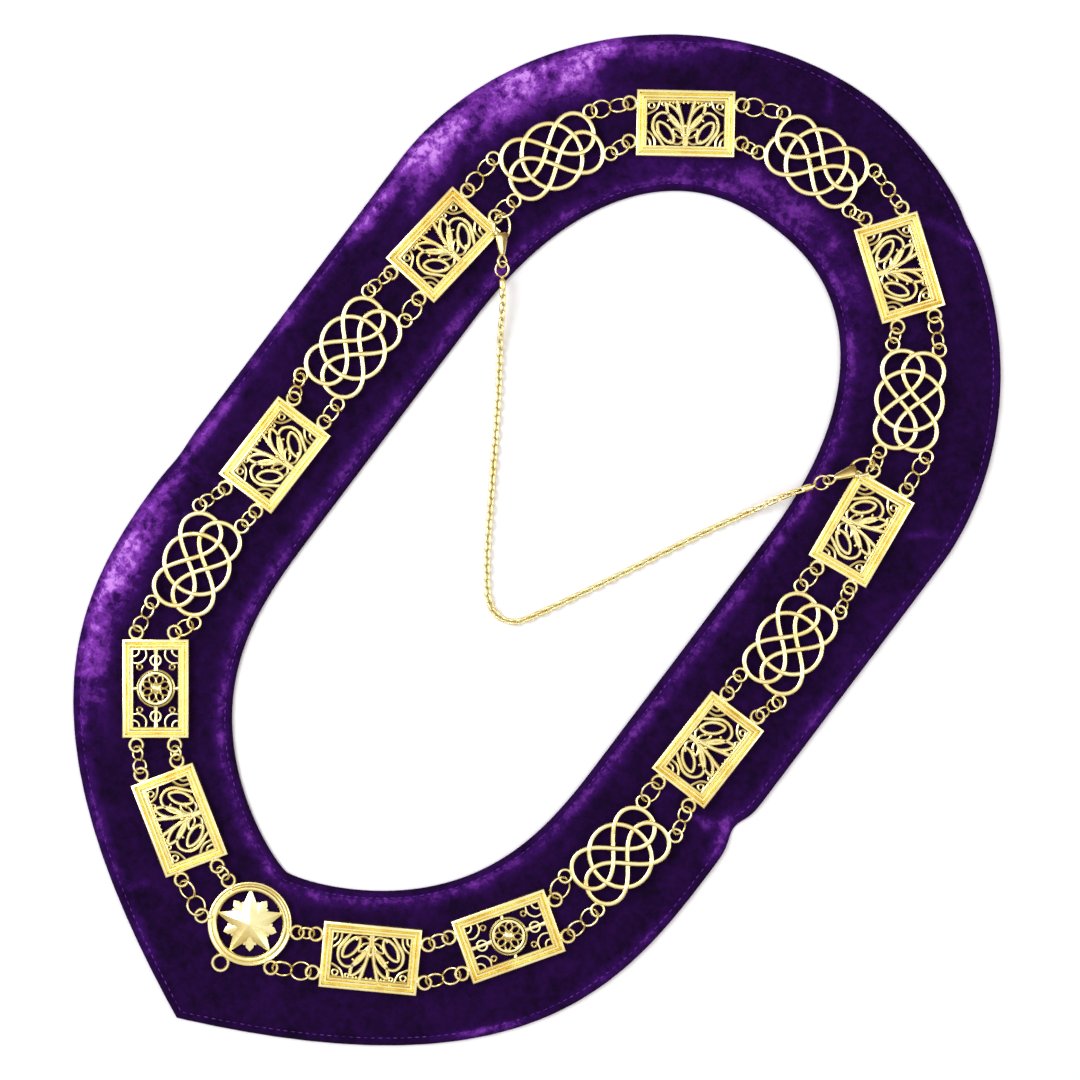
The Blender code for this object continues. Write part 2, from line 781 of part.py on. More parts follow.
def clasp_mesh():
    top, middle, half_long, half_wide = clasp_frame()
    shoulder = middle - half_long * 0.62
    tail_top = CLASP_TAIL_RADIUS
    body = [
        (-CLASP_NECK_WIDTH / 2, tail_top),
        (CLASP_NECK_WIDTH / 2, tail_top),
        (CLASP_BODY_WIDTH / 2, shoulder),
        (half_wide * 0.60, shoulder + 0.0010),
        (0.0, shoulder - 0.0008),
        (-half_wide * 0.45, shoulder + 0.0002),
        (-half_wide * 0.95, shoulder + 0.0012),
    ]
    half = CLASP_THICKNESS / 2
    shank = pierced_layer("shank", [patch(body)], -half, half)
    claw_points = [mouth_point(angle) for angle in CLAW_ANGLES]
    tail = strip(round_points((0, 0), CLASP_TAIL_RADIUS, 8, math.pi / 8), CLASP_TAIL_WIRE)
    thin = CLASP_CLAW_THICKNESS / 2
    wires = pierced_layer("wires", [strip(claw_points, CLASP_CLAW_WIRE, closed=False), tail], -thin, thin)
    pivot = lever_pivot()
    slot = pierced_layer(
        "slot",
        [patch(round_points(pivot, LEVER_HUB + 2 * CLEARANCE, 8))],
        -LEVER_SLOT / 2,
        LEVER_SLOT / 2,
    )
    cheek = pierced_layer("cheek", [patch(round_points(pivot, LEVER_HUB, 8))], -half, half)
    pin = pierced_layer("pin", [patch(round_points(pivot, LEVER_PIN, 6))], -half * 0.9, half * 0.9)
    pocketed = fused("clasp_body", [shank, cheek], [slot])
    return fused("clasp", [pocketed, wires, pin])


# The lever: a curved arm with a drilled hub, its origin on the pin.
def lever_mesh():
    pivot = lever_pivot()
    arm = [mouth_point(angle) - pivot for angle in LEVER_ARM_ANGLES]
    bore = LEVER_PIN + CLEARANCE
    hub = strip(round_points((0, 0), (LEVER_HUB + bore) / 2, 8), LEVER_HUB - bore)
    bar = strip(arm, LEVER_WIRE, closed=False)
    half = LEVER_THICKNESS / 2
    return pierced_layer("lever", [hub, bar], -half, half)


# Where a clasp lies: its claw holds the rim of the ring between two plates, its tail is toward the neck.
def clasp_matrix(start, end, clasp):
    count, radius, spacing, roll = row_plan(start, end, 1)
    along = (end - start).normalized()
    neckward = Vector((-along.y, along.x, 0))
    tilted = neckward * math.cos(roll) + Vector((0, 0, math.sin(roll)))
    turn = math.radians(clasp["rim"])
    rim = (start + end) / 2 + (along * math.cos(turn) + tilted * math.sin(turn)) * radius
    heading = math.radians(clasp["heading"])
    pitch = math.radians(clasp["pitch"])
    forward = Vector(
        (math.cos(heading) * math.cos(pitch), math.sin(heading) * math.cos(pitch), math.sin(pitch))
    )
    right = forward.cross(Vector((0, 0, 1))).normalized()
    turned = Matrix((right, forward, right.cross(forward))).transposed().to_4x4()
    turned = turned @ Matrix.Rotation(math.radians(clasp["roll"]), 4, "Y")
    hold = clasp_frame()[0] - CLASP_CLAW_WIRE - RING_WIRE / 2 - CLASP_SLACK
    tail = rim - turned @ Vector((clasp["shift"] * CLASP_MOUTH_WIDTH, hold, 0))
    return Matrix.Translation(tail) @ turned


def smooth_route(points, step):
    dense = []
    padded = [points[0] * 2 - points[1]] + points + [points[-1] * 2 - points[-2]]
    for index in range(1, len(padded) - 2):
        a, b, c, d = padded[index - 1 : index + 3]
        for part in range(24):
            t = part / 24
            square = (2 * a - 5 * b + 4 * c - d) * t**2
            cube = (3 * b - 3 * c + d - a) * t**3
            dense.append(0.5 * (2 * b + (c - a) * t + square + cube))
    dense.append(points[-1])
    lengths = [0.0]
    for one, two in zip(dense, dense[1:]):
        lengths.append(lengths[-1] + (two - one).length)
    count = max(int(round(lengths[-1] / step)), 2)
    route = []
    for index in range(count + 1):
        target = lengths[-1] * index / count
        after = next(i for i in range(1, len(lengths)) if lengths[i] >= target or i == len(lengths) - 1)
        span = max(lengths[after] - lengths[after - 1], EDGE_MERGE)
        route.append(dense[after - 1].lerp(dense[after], min((target - lengths[after - 1]) / span, 1)))
    return route


def tube_mesh(points, width):
    curve = bpy.data.curves.new("chain_path", "CURVE")
    curve.dimensions = "3D"
    curve.bevel_depth = width / 2
    curve.bevel_resolution = 2
    curve.use_fill_caps = True
    line = curve.splines.new("POLY")
    line.points.add(len(points) - 1)
    for slot, point in zip(line.points, points):
        slot.co = (point.x, point.y, point.z, 1)
    guide = bpy.data.objects.new("chain_path", curve)
    tools.objects.link(guide)
    bpy.context.view_layer.update()
    mesh = bpy.data.meshes.new_from_object(guide.evaluated_get(bpy.context.evaluated_depsgraph_get()))
    bpy.data.objects.remove(guide, do_unlink=True)
    work = bmesh.new()
    work.from_mesh(mesh)
    bmesh.ops.remove_doubles(work, verts=work.verts, dist=EDGE_MERGE)
    bmesh.ops.recalc_face_normals(work, faces=work.faces)
    work.to_mesh(mesh)
    work.free()
    return mesh


# The flat ring that joins the chain to a clasp's tail loop, and the point of it where the chain starts.
def end_ring(matrix, clasp):
    tail = matrix.translation
    forward = matrix.col[1]
    reach = CHAIN_RING_RADIUS + CLASP_TAIL_RADIUS - (CHAIN_RING_WIRE + CLASP_TAIL_WIRE) / 2 - CHAIN_RING_SLACK
    back = Vector((-forward.x, -forward.y, 0)).normalized()
    centre = tail + back * reach
    roll = math.radians(clasp["ring_roll"])
    across = Vector((-back.y * math.cos(roll), back.x * math.cos(roll), math.sin(roll)))
    turn = Matrix((back, across, back.cross(across))).transposed().to_4x4()
    ring = moved(ring_mesh(CHAIN_RING_RADIUS, CHAIN_RING_WIRE), Matrix.Translation(centre) @ turn)
    return ring, centre + back * CHAIN_RING_RADIUS


def back_chain(matrices):
    rings = []
    ends = []
    for clasp, matrix in zip(CLASP_PLACES, matrices):
        ring, end = end_ring(matrix, clasp)
        rings.append(ring)
        ends.append(end)
    floor = CHAIN_WIDTH / 2 / math.cos(math.pi / 8)
    route = [Vector((x, y, floor + share * (ends[0].z - floor))) for x, y, share in CHAIN_ROUTE]
    route = smooth_route([ends[0]] + route + [ends[1]], CHAIN_STEP)
    return place("back_chain", fused("back_chain", [tube_mesh(route, CHAIN_WIDTH)] + rings), gold)


def build():
    meshes = {
        "star": ("star_medallion", star_mesh()),
        "filigree": ("filigree_plate", filigree_mesh()),
        "rosette": ("rosette_plate", rosette_mesh()),
        "knot": ("knot_link", knot_mesh()),
    }
    counts = {}
    for kind, x, y, turn in LINK_ROUTE:
        name, mesh = meshes[kind]
        counts[kind] = counts.get(kind, 0) + 1
        label = name if kind == "star" else f"{name}_{counts[kind]}"
        place(label, mesh, gold, link_matrix(x, y, turn))
    for index, link in enumerate(LINK_ROUTE):
        after = LINK_ROUTE[(index + 1) % len(LINK_ROUTE)]
        ring_row(f"inner_rings_{index + 1:02d}", lug_point(link, 1, 1), lug_point(after, -1, 1), 1)
        ring_row(f"outer_rings_{index + 1:02d}", lug_point(link, 1, -1), lug_point(after, -1, -1), -1)
    velvet_band()
    clasp = clasp_mesh()
    lever = lever_mesh()
    pivot = lever_pivot()
    matrices = []
    for place_of in CLASP_PLACES:
        link = LINK_ROUTE[place_of["row"] - 1]
        after = LINK_ROUTE[place_of["row"]]
        matrix = clasp_matrix(lug_point(link, 1, 1), lug_point(after, -1, 1), place_of)
        matrices.append(matrix)
        place("clasp_" + place_of["side"], clasp, gold, matrix)
        place("lever_" + place_of["side"], lever, gold, matrix @ Matrix.Translation((pivot.x, pivot.y, 0)))
    back_chain(matrices)


empty_scene()
collar = new_collection("chain_collar")
tools = new_collection("cutters")
gold = new_material("gilt_brass", (0.80, 0.62, 0.27, 1), 1.0, 0.28)
velvet = new_material("purple_velvet", (0.035, 0.006, 0.085, 1), 0.0, 0.9)
build()
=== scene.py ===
import math

import bmesh
import bpy
import numpy as np
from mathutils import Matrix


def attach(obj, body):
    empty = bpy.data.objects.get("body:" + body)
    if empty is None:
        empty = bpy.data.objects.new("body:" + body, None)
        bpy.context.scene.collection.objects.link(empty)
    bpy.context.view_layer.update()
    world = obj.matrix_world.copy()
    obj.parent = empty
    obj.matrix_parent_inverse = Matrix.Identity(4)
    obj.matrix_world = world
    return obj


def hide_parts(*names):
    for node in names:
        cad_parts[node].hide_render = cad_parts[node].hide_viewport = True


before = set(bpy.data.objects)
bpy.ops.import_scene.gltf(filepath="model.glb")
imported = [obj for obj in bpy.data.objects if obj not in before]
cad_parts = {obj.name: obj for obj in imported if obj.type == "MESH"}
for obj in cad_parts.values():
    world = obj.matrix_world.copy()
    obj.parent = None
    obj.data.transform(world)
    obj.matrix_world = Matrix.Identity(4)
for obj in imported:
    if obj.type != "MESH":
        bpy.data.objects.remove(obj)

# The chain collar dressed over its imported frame; shapes are worked out in mm, and meshes are in metres.
scene = bpy.context.scene
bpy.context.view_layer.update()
up = np.array([0.0, 0.0, 1.0])


# rows divided by their own lengths
def unit(rows):
    return rows / np.maximum(np.linalg.norm(rows, axis=-1, keepdims=True), 1e-12)


# numbers a grid's corners (rows along, columns round) and joins neighbours with quads; caps close its ends
def skin(grid, closedAlong=False, caps=False):
    rows, columns = grid.shape[:2]
    number = np.arange(rows * columns).reshape(rows, columns)
    here = number if closedAlong else number[:-1]
    ahead = np.roll(number, -1, 0) if closedAlong else number[1:]
    quads = np.stack([here, ahead, np.roll(ahead, -1, 1), np.roll(here, -1, 1)], axis=-1).reshape(-1, 4)
    ends = [number[0], number[-1]] if caps else []
    return grid.reshape(-1, 3), quads, ends


# a wire's section: a superellipse of the given width and height, more square as squareness grows
def wireSection(width, height, count, squareness=2.0):
    turn = 2 * np.pi * (np.arange(count) + 0.5) / count
    bend = 2 / squareness
    side = np.sign(np.cos(turn)) * np.abs(np.cos(turn)) ** bend * width / 2
    rise = np.sign(np.sin(turn)) * np.abs(np.sin(turn)) ** bend * height / 2
    return np.stack([side, rise], axis=1)


# carries a section along a path: at each point it stands square to the path, its second axis toward facing,
# and is multiplied by the size there
def carry(path, section, closed=False, facing=up, sizes=1.0):
    before, after = np.roll(path, 1, 0), np.roll(path, -1, 0)
    if not closed:
        before[0], after[-1] = path[0], path[-1]
    forward = unit(after - before)
    side = unit(np.cross(forward, facing))
    rise = np.cross(side, forward)
    spread = side[:, None] * section[None, :, :1] + rise[:, None] * section[None, :, 1:]
    return skin(path[:, None] + spread * np.reshape(sizes, (-1, 1, 1)), closed, not closed)


# a section of (radius, height) rows spun about the z axis; it is a closed loop, or open from pole to pole
def spun(section, count, centre=(0, 0), closed=True):
    turn = 2 * np.pi * np.arange(count) / count
    section = np.array(section, float)
    x = centre[0] + section[:, :1] * np.cos(turn)
    y = centre[1] + section[:, :1] * np.sin(turn)
    grid = np.stack([x, y, np.repeat(section[:, 1:], count, 1)], axis=-1)
    return skin(grid, closed, not closed)


# a smooth curve through a few corners: each stretch is a Catmull-Rom cubic of its four nearest corners
def smoothPath(corners, steps, closed=False, z=0.0):
    corners = np.array(corners, float)
    if corners.shape[1] == 2:
        corners = np.column_stack([corners, np.full(len(corners), z)])
    if closed:
        padded = np.vstack([corners[-1:], corners, corners[:2]])
    else:
        padded = np.vstack([2 * corners[:1] - corners[1:2], corners, 2 * corners[-1:] - corners[-2:-1]])
    a, b, c, d = padded[:-3, None], padded[1:-2, None], padded[2:-1, None], padded[3:, None]
    t = (np.arange(steps) / steps)[None, :, None]
    cubic = 2 * b + (c - a) * t + (2 * a - 5 * b + 4 * c - d) * t**2 + (3 * b - 3 * c + d - a) * t**3
    points = 0.5 * cubic.reshape(-1, 3)
    return points if closed else np.vstack([points, corners[-1:]])


# how far along a path each of its points is
def lengthsAlong(path):
    return np.r_[0, np.cumsum(np.linalg.norm(np.diff(path, axis=0), axis=1))]


# points at the given places along a path, straight between its own points
def pointsAlong(path, lengths, places):
    return np.stack([np.interp(places, lengths, column) for column in path.T], axis=-1)


# centre + radius (cos t along + sin t across)
def ringPath(radius, count, centre=(0.0, 0.0, 0.0), along=(1, 0, 0), across=(0, 1, 0)):
    turn = 2 * np.pi * np.arange(count)[:, None] / count
    return np.array(centre) + radius * (np.cos(turn) * np.array(along) + np.sin(turn) * np.array(across))


# sizes of a strand with fading ends: a straight rise from start to 1, then a straight fall to end
def tapered(count, start, end, share=0.15):
    t = np.linspace(0, 1, count)
    rise = np.clip(t / share, 0, 1) * (1 - start) + start
    fall = np.clip((1 - t) / share, 0, 1) * (1 - end) + end
    return np.minimum(rise, fall)


# every point p of the shells goes to matrix p
def turned(shells, matrix):
    return [(points @ matrix[:3, :3].T + matrix[:3, 3], quads, ends) for points, quads, ends in shells]


# a turn about the z axis in degrees, then a move to x, y, z
def flatMatrix(x, y, turn, z):
    c, s = math.cos(math.radians(turn)), math.sin(math.radians(turn))
    return np.array([[c, -s, 0, x], [s, c, 0, y], [0, 0, 1, z], [0, 0, 0, 1]], float)


# an object in the scene for a mesh, a lamp or the camera
def newObject(name, data):
    made = bpy.data.objects.new(name, data)
    scene.collection.objects.link(made)
    return made


# joins shells into one mesh object in metres, faces outward; edges sharper than crisp degrees stay crisp
def newPiece(name, shells, material, body="collar", nodes=(), crisp=180):
    corners, faces, start = [], [], 0
    for points, quads, ends in shells:
        corners.append(points)
        faces += (quads + start).tolist() + [(end + start).tolist() for end in ends]
        start += len(points)
    mesh = bpy.data.meshes.new(name)
    mesh.from_pydata((np.vstack(corners) * 0.001).tolist(), [], faces)
    work = bmesh.new()
    work.from_mesh(mesh)
    bmesh.ops.recalc_face_normals(work, faces=work.faces)
    work.to_mesh(mesh)
    work.free()
    mesh.polygons.foreach_set("use_smooth", np.ones(len(mesh.polygons), bool))
    mesh.set_sharp_from_angle(angle=math.radians(crisp))
    mesh.materials.append(material)
    piece = newObject(name, mesh)
    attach(piece, body)
    if nodes:
        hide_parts(*nodes)
    return piece


# sRGB hex to linear light
def colour(text):
    parts = np.array([int(text[i:i + 2], 16) for i in (1, 3, 5)]) / 255
    linear = np.where(parts <= 0.04045, parts / 12.92, ((parts + 0.055) / 1.055) ** 2.4)
    return (*linear.tolist(), 1.0)


# adds one node with its settings, then its values and links by socket name or number
def node(tree, kind, settings=None, **sockets):
    made = tree.nodes.new(kind)
    for key, value in (settings or {}).items():
        setattr(made, key, value)
    for key, value in sockets.items():
        slot = made.inputs[int(key[1:])] if key[1:].isdigit() else made.inputs[key.replace("_", " ")]
        if isinstance(value, bpy.types.NodeSocket):
            tree.links.new(value, slot)
        else:
            slot.default_value = value
    return made


# an empty material, its nodes, and the socket of each point's own place in metres
def newMaterial(name):
    material = bpy.data.materials.new(name)
    material.use_nodes = True
    tree = material.node_tree
    tree.nodes.clear()
    return material, tree, node(tree, "ShaderNodeTexCoord").outputs["Object"]


# the surface's shader, led to the output
def surface(tree, tint, roughness, **sockets):
    shader = node(tree, "ShaderNodeBsdfPrincipled", Base_Color=tint, Roughness=roughness, **sockets)
    node(tree, "ShaderNodeOutputMaterial", Surface=shader.outputs[0])


# cloudy noise with patches some size mm across
def noise(tree, place, size, **sockets):
    return node(tree, "ShaderNodeTexNoise", Vector=place, Scale=1000 / size, **sockets).outputs["Fac"]


# a bump of the given depth in metres
def bumps(tree, height, strength, depth, **sockets):
    made = node(tree, "ShaderNodeBump", Height=height, Strength=strength, Distance=depth, **sockets)
    return made.outputs["Normal"]


# one times two plus three
def timesPlus(tree, one, two, three):
    return node(tree, "ShaderNodeMath", {"operation": "MULTIPLY_ADD"}, _0=one, _1=two, _2=three).outputs[0]


# a colour ramp, straight between its stops of place and sRGB hex
def ramp(tree, factor, stops):
    made = node(tree, "ShaderNodeValToRGB", Fac=factor)
    elements = made.color_ramp.elements
    while len(elements) < len(stops):
        elements.new(0.5)
    for element, (place, value) in zip(elements, stops):
        element.position = place
        element.color = colour(value)
    return made.outputs["Color"]


# brass castings under a thin flash of pale gold, tumbled bright: mirror-like, warmer where the plating is
# thin, and faintly wavy from the casting, so that its highlights break up
giltLook = {
    "pale": "#FFF6BE",
    "warm": "#F0D787",
    "roughness": 0.17,
    "roughest": 0.34,
    "wear": 14.0,  # mm across one patch of thin plating
    "wave": 2.2,  # mm between the casting's soft swells
    "grain": 0.35,  # mm, tumbling grain, drawn coarser than the real 0.05 mm so that it shows
}


def giltBrass(look):
    material, tree, place = newMaterial("giltBrass")
    wear = noise(tree, place, look["wear"], Detail=4.0, Roughness=0.6)
    tint = ramp(tree, wear, [(0.46, look["pale"]), (0.78, look["warm"])])
    fine = noise(tree, place, look["grain"], Detail=2.0)
    swell = noise(tree, place, look["wave"], Detail=1.0)
    low, high = look["roughness"], look["roughest"]
    rough = node(tree, "ShaderNodeMapRange", Value=wear, To_Min=low, To_Max=high).outputs["Result"]
    wavy = bumps(tree, swell, 0.16, 0.0004)
    surface(tree, tint, rough, Metallic=1.0, Normal=bumps(tree, fine, 0.10, 0.00006, Normal=wavy))
    return material


# crushed velvet: a short cut pile, dark where it stands, with bright violet painted sheen where the cloth
# catches the light, mottled by tufts of a few millimetres
velvetLook = {
    "deep": "#11041F",
    "mid": "#310C58",
    "lit": "#7B36B0",
    "brightest": "#C285EE",
    "tuft": 3.4,  # mm across one pressed tuft
    "patch": 15.0,  # mm across one patch of pressed pile
    "pile": 0.9,  # mm, pile grain, drawn coarser than the real 0.3 mm so that it shows
    "sheen": 0.10,
    "sheenMottle": 1.10,  # how strongly the mottling shows where sheen is painted
    "standingMottle": 0.13,  # and where the pile stands, with no painted sheen
    "sheenLight": 0.30,  # how much lighter the painted sheen makes the cloth all over
}


def purpleVelvet(look):
    material, tree, place = newMaterial("purpleVelvet")
    # painted sheen at each point of the band: bright violet where the cloth catches the light
    sheenNap = node(tree, "ShaderNodeAttribute", {"attribute_name": "paintedPileSheen"}).outputs["Fac"]
    patch = noise(tree, place, look["patch"], Detail=3.0, Roughness=0.55, Distortion=0.6)
    tuft = noise(tree, place, look["tuft"], Detail=4.0, Roughness=0.6, Distortion=0.4)
    small = timesPlus(tree, noise(tree, place, look["pile"], Detail=2.0), 0.3, tuft)
    mottle = timesPlus(tree, small, 1.0, patch)
    clear = node(tree, "ShaderNodeMapRange", Value=mottle, From_Min=0.85, From_Max=1.5).outputs["Result"]
    # the mottling is strong where sheen is painted and only a breath elsewhere
    share = timesPlus(tree, sheenNap, look["sheenMottle"], look["standingMottle"])
    lit = timesPlus(tree, clear, share, timesPlus(tree, sheenNap, look["sheenLight"], 0.0))
    stops = [(0.0, look["deep"]), (0.25, look["mid"]), (0.62, look["lit"]), (1.0, look["brightest"])]
    surface(
        tree, ramp(tree, lit, stops), 0.85, Sheen_Weight=look["sheen"], Sheen_Roughness=0.35,
        Sheen_Tint=colour("#6A2FC0"), Specular_IOR_Level=0.04, Normal=bumps(tree, small, 0.5, 0.0006),
    )
    return material


# spun polyester sewing thread of three plies: matt, and a little lighter than the cloth so that it shows
def sewingThread():
    material, tree, place = newMaterial("sewingThread")
    ply = noise(tree, place, 1.4, Detail=1.0)
    surface(tree, ramp(tree, ply, [(0.35, "#35106A"), (0.7, "#7038B4")]), 0.6, Specular_IOR_Level=0.08)
    return material


# matt white studio board, a breath cooler than the warm light, so that the floor turns out plain white
def studioBoard():
    material, tree, place = newMaterial("studioBoard")
    mottle = noise(tree, place, 1000 / 3, Detail=1.0)
    surface(tree, ramp(tree, mottle, [(0.3, "#EEF2FF"), (0.7, "#F1F4FF")]), 0.9)
    return material


gilt = giltBrass(giltLook)
velvet = purpleVelvet(velvetLook)
thread = sewingThread()
print("materials ready")


# a gilt piece in place of one solid of the CAD
def giltPiece(cadName, shells, crisp=60, body="collar"):
    newPiece("gilt_" + cadName, shells, gilt, body, [cadName], crisp)


# where the plates lie: kind, middle in mm, and which way the length points
linkRoute = [
    ("star", 0.8, -205.3, 0.0),
    ("filigree", 53.4, -185.0, 31.6),
    ("rosette", 97.1, -139.8, 56.6),
    ("knot", 115.4, -80.6, 80.7),
    ("filigree", 118.1, -18.8, 89.2),
    ("knot", 118.9, 41.4, 92.6),
    ("filigree", 113.6, 101.9, 97.0),
    ("knot", 96.1, 160.9, 120.0),
    ("filigree", 56.6, 206.0, 143.8),
    ("knot", -1.9, 221.5, 184.5),
    ("filigree", -59.2, 199.9, 215.8),
    ("knot", -98.3, 152.0, 243.0),
    ("filigree", -113.4, 90.8, 264.0),
    ("knot", -117.9, 29.5, 268.0),
    ("filigree", -117.0, -30.2, 269.5),
    ("knot", -115.4, -90.4, 280.7),
    ("rosette", -96.6, -146.3, 307.0),
    ("filigree", -52.5, -187.1, 328.0),
]
plateBack = 2.5  # mm, underside of the plates above the floor
rowHeight = 3.25  # mm, middle of the rings and lugs above the plates' underside

lugShape = {"radius": 2.9, "wire": 1.3, "standoff": 0.15, "foot": 1.95}


# a round eye with a short foot behind it that runs into what carries it
def lug(x, y, facing, radius=lugShape["radius"], wire=lugShape["wire"], z=rowHeight):
    section = wireSection(wire, wire * 0.95, 8, 2.3)
    eye = carry(ringPath(radius, 26, (x, y, z)), section, closed=True)
    away = np.array([math.cos(facing), math.sin(facing), 0.0])
    middle = np.array([x, y, z])
    foot = middle - away * (radius + np.array([[0.9], [0.2], [-0.1]]))
    stub = carry(foot, wireSection(lugShape["foot"], wire, 8, 3), sizes=np.array([1.1, 1.0, 0.7]))
    return [eye, stub]


plateShape = {
    "length": 44.5,
    "width": 30.0,
    "border": 4.95,
    "lugSpread": 17.2,
    "fretMiddle": 2.05,
    "fretHeight": 1.35,
    "strand": 1.5,
    "fineStrand": 1.05,
    # the frame's section from its outside edge inward: inset and height in mm
    "section": [
        (0.0, 0.0), (0.0, 3.3), (0.12, 3.62), (0.4, 3.8), (1.35, 3.8), (1.5, 3.65), (2.0, 2.2),
        (2.5, 3.2), (2.7, 3.4), (3.3, 3.4), (3.5, 3.2), (3.85, 2.3), (4.2, 2.85), (4.65, 2.95),
        (4.95, 2.7), (4.95, 0.2), (4.75, 0.0),
    ],
}


# the frame: every row of the section is a rectangle inset by that much, so its corners are mitred
def plateFrame(shape):
    section = np.array(shape["section"])
    halfLong = shape["length"] / 2 - section[:, 0]
    halfWide = shape["width"] / 2 - section[:, 0]
    x, y = np.outer(halfLong, [1, -1, -1, 1]), np.outer(halfWide, [1, 1, -1, -1])
    return skin(np.stack([x, y, np.repeat(section[:, 1:], 4, 1)], axis=-1), closedAlong=True)


# middle and facing of each of a plate's four lugs, beyond its short sides
def plateLugs(shape):
    reach = shape["length"] / 2 + lugShape["radius"] + lugShape["standoff"]
    rise = shape["lugSpread"] / 2
    return [(reach, rise, 0.0), (reach, -rise, 0.0), (-reach, rise, math.pi), (-reach, -rise, math.pi)]


# a leaf drawn as a closed strand: its midline runs from root to tip, and its half width is
# width / 2 sin^1.25 t, so that both ends are pointed
def leafPath(root, tip, width, count=26, z=0.0):
    root, tip = np.array(root, float), np.array(tip, float)
    along = tip - root
    across = np.array([-along[1], along[0]]) / np.linalg.norm(along)
    turn = 2 * np.pi * (np.arange(count) + 0.5) / count
    share = (1 - np.cos(turn)) / 2
    swell = np.sign(np.sin(turn)) * np.abs(np.sin(turn)) ** 1.25 * width / 2
    points = root + along * share[:, None] + across * swell[:, None]
    return np.column_stack([points, np.full(count, z)])


# one side of the filigree in the plate's own plane, its neck side toward +y; the other side mirrors it
filigreeShape = {
    "stem": [(0.5, 10.3), (0.75, 5.5), (1.25, 1.0), (2.3, -4.0), (4.1, -10.3)],
    "arc": [
        (1.2, 3.9), (4.0, -0.8), (7.6, -4.0), (11.3, -4.6), (14.2, -1.8), (14.6, 2.4), (12.4, 6.3),
        (9.6, 10.3),
    ],
    "sideLeaf": ((5.6, 8.6), (12.3, -0.4), 5.0),
    "lowLeaf": ((1.5, 2.2), (8.2, -8.4), 4.4),
    "budLeaf": ((1.1, 6.2), (5.6, 2.6), 2.5),
    "base": [(0.9, 7.8), (3.0, 9.2), (5.4, 8.8), (7.0, 7.4)],
    "cornerArcs": [
        [(17.6, -3.9), (14.9, -5.2), (12.9, -6.9), (11.6, -10.3)],
        [(17.6, 3.2), (15.2, 5.0), (13.9, 7.2), (13.6, 10.3)],
        [(17.6, 6.3), (16.0, 7.6), (15.6, 10.3)],
    ],
    "cornerEyes": [(15.4, -8.0, 1.3), (9.9, -8.9, 0.85)],
    "beads": [(5.6, -9.1, 0.5), (7.1, -9.2, 0.42), (1.0, -9.1, 0.55), (4.4, 5.0, 0.75), (7.9, -1.3, 0.7)],
}


# a ball of radius r: rows at height r cos t with radius r sin t
def bead(x, y, radius, z, count=8):
    rows = np.linspace(0.08, np.pi - 0.08, 6)
    return spun(np.column_stack([radius * np.sin(rows), z + radius * np.cos(rows)]), count, (x, y), False)


# the filigree: both sides' strands, leaves, arcs and beads, two middle beads, and a bar on the outer side
def filigreeFret(shape, plate):
    z = plate["fretMiddle"]
    main = wireSection(plate["strand"], plate["fretHeight"], 8, 2.4)
    fine = wireSection(plate["fineStrand"], plate["fretHeight"] * 0.85, 6, 2.4)
    shells = []
    stem = smoothPath(shape["stem"], 6, z=z)
    arc = smoothPath(shape["arc"], 5, z=z)
    for hand in (1, -1):
        flip = np.array([hand, 1, 1])
        shells.append(carry(stem * flip, main, sizes=np.linspace(1.0, 1.25, len(stem))))
        shells.append(carry(arc * flip, main, sizes=tapered(len(arc), 0.8, 0.9)))
        for key, section in (("sideLeaf", main), ("lowLeaf", main), ("budLeaf", fine)):
            shells.append(carry(leafPath(*shape[key], z=z) * flip, section, closed=True))
        shells.append(carry(smoothPath(shape["base"], 5, z=z) * flip, fine))
        for corners in shape["cornerArcs"]:
            shells.append(carry(smoothPath(corners, 4, z=z) * flip, fine))
        for x, y, radius in shape["cornerEyes"]:
            shells.append(carry(ringPath(radius, 12, (x * hand, y, z)), fine * 0.85, closed=True))
        for x, y, radius in shape["beads"]:
            shells.append(bead(x * hand, y, radius, z + 0.45))
    shells.append(bead(0, 1.2, 1.15, z + 0.3, 12))
    shells.append(bead(0, 5.0, 0.8, z + 0.4, 10))
    bar = smoothPath([(-17.5, -9.75), (0, -9.75), (17.5, -9.75)], 4, z=z)
    shells.append(carry(bar, wireSection(0.75, 1.1, 6, 3)))
    return shells


rosetteShape = {
    "ring": 6.9,
    "petals": 8,
    "petal": (2.2, 6.2, 2.9),
    "hub": 2.2,
    "bar": 1.7,
    "cornerScrolls": [
        [(17.6, 4.6), (14.8, 4.2), (12.6, 5.4), (11.4, 7.6), (11.6, 10.3)],
        [(17.6, 7.4), (15.9, 7.6), (14.7, 8.8), (14.4, 10.3)],
    ],
}


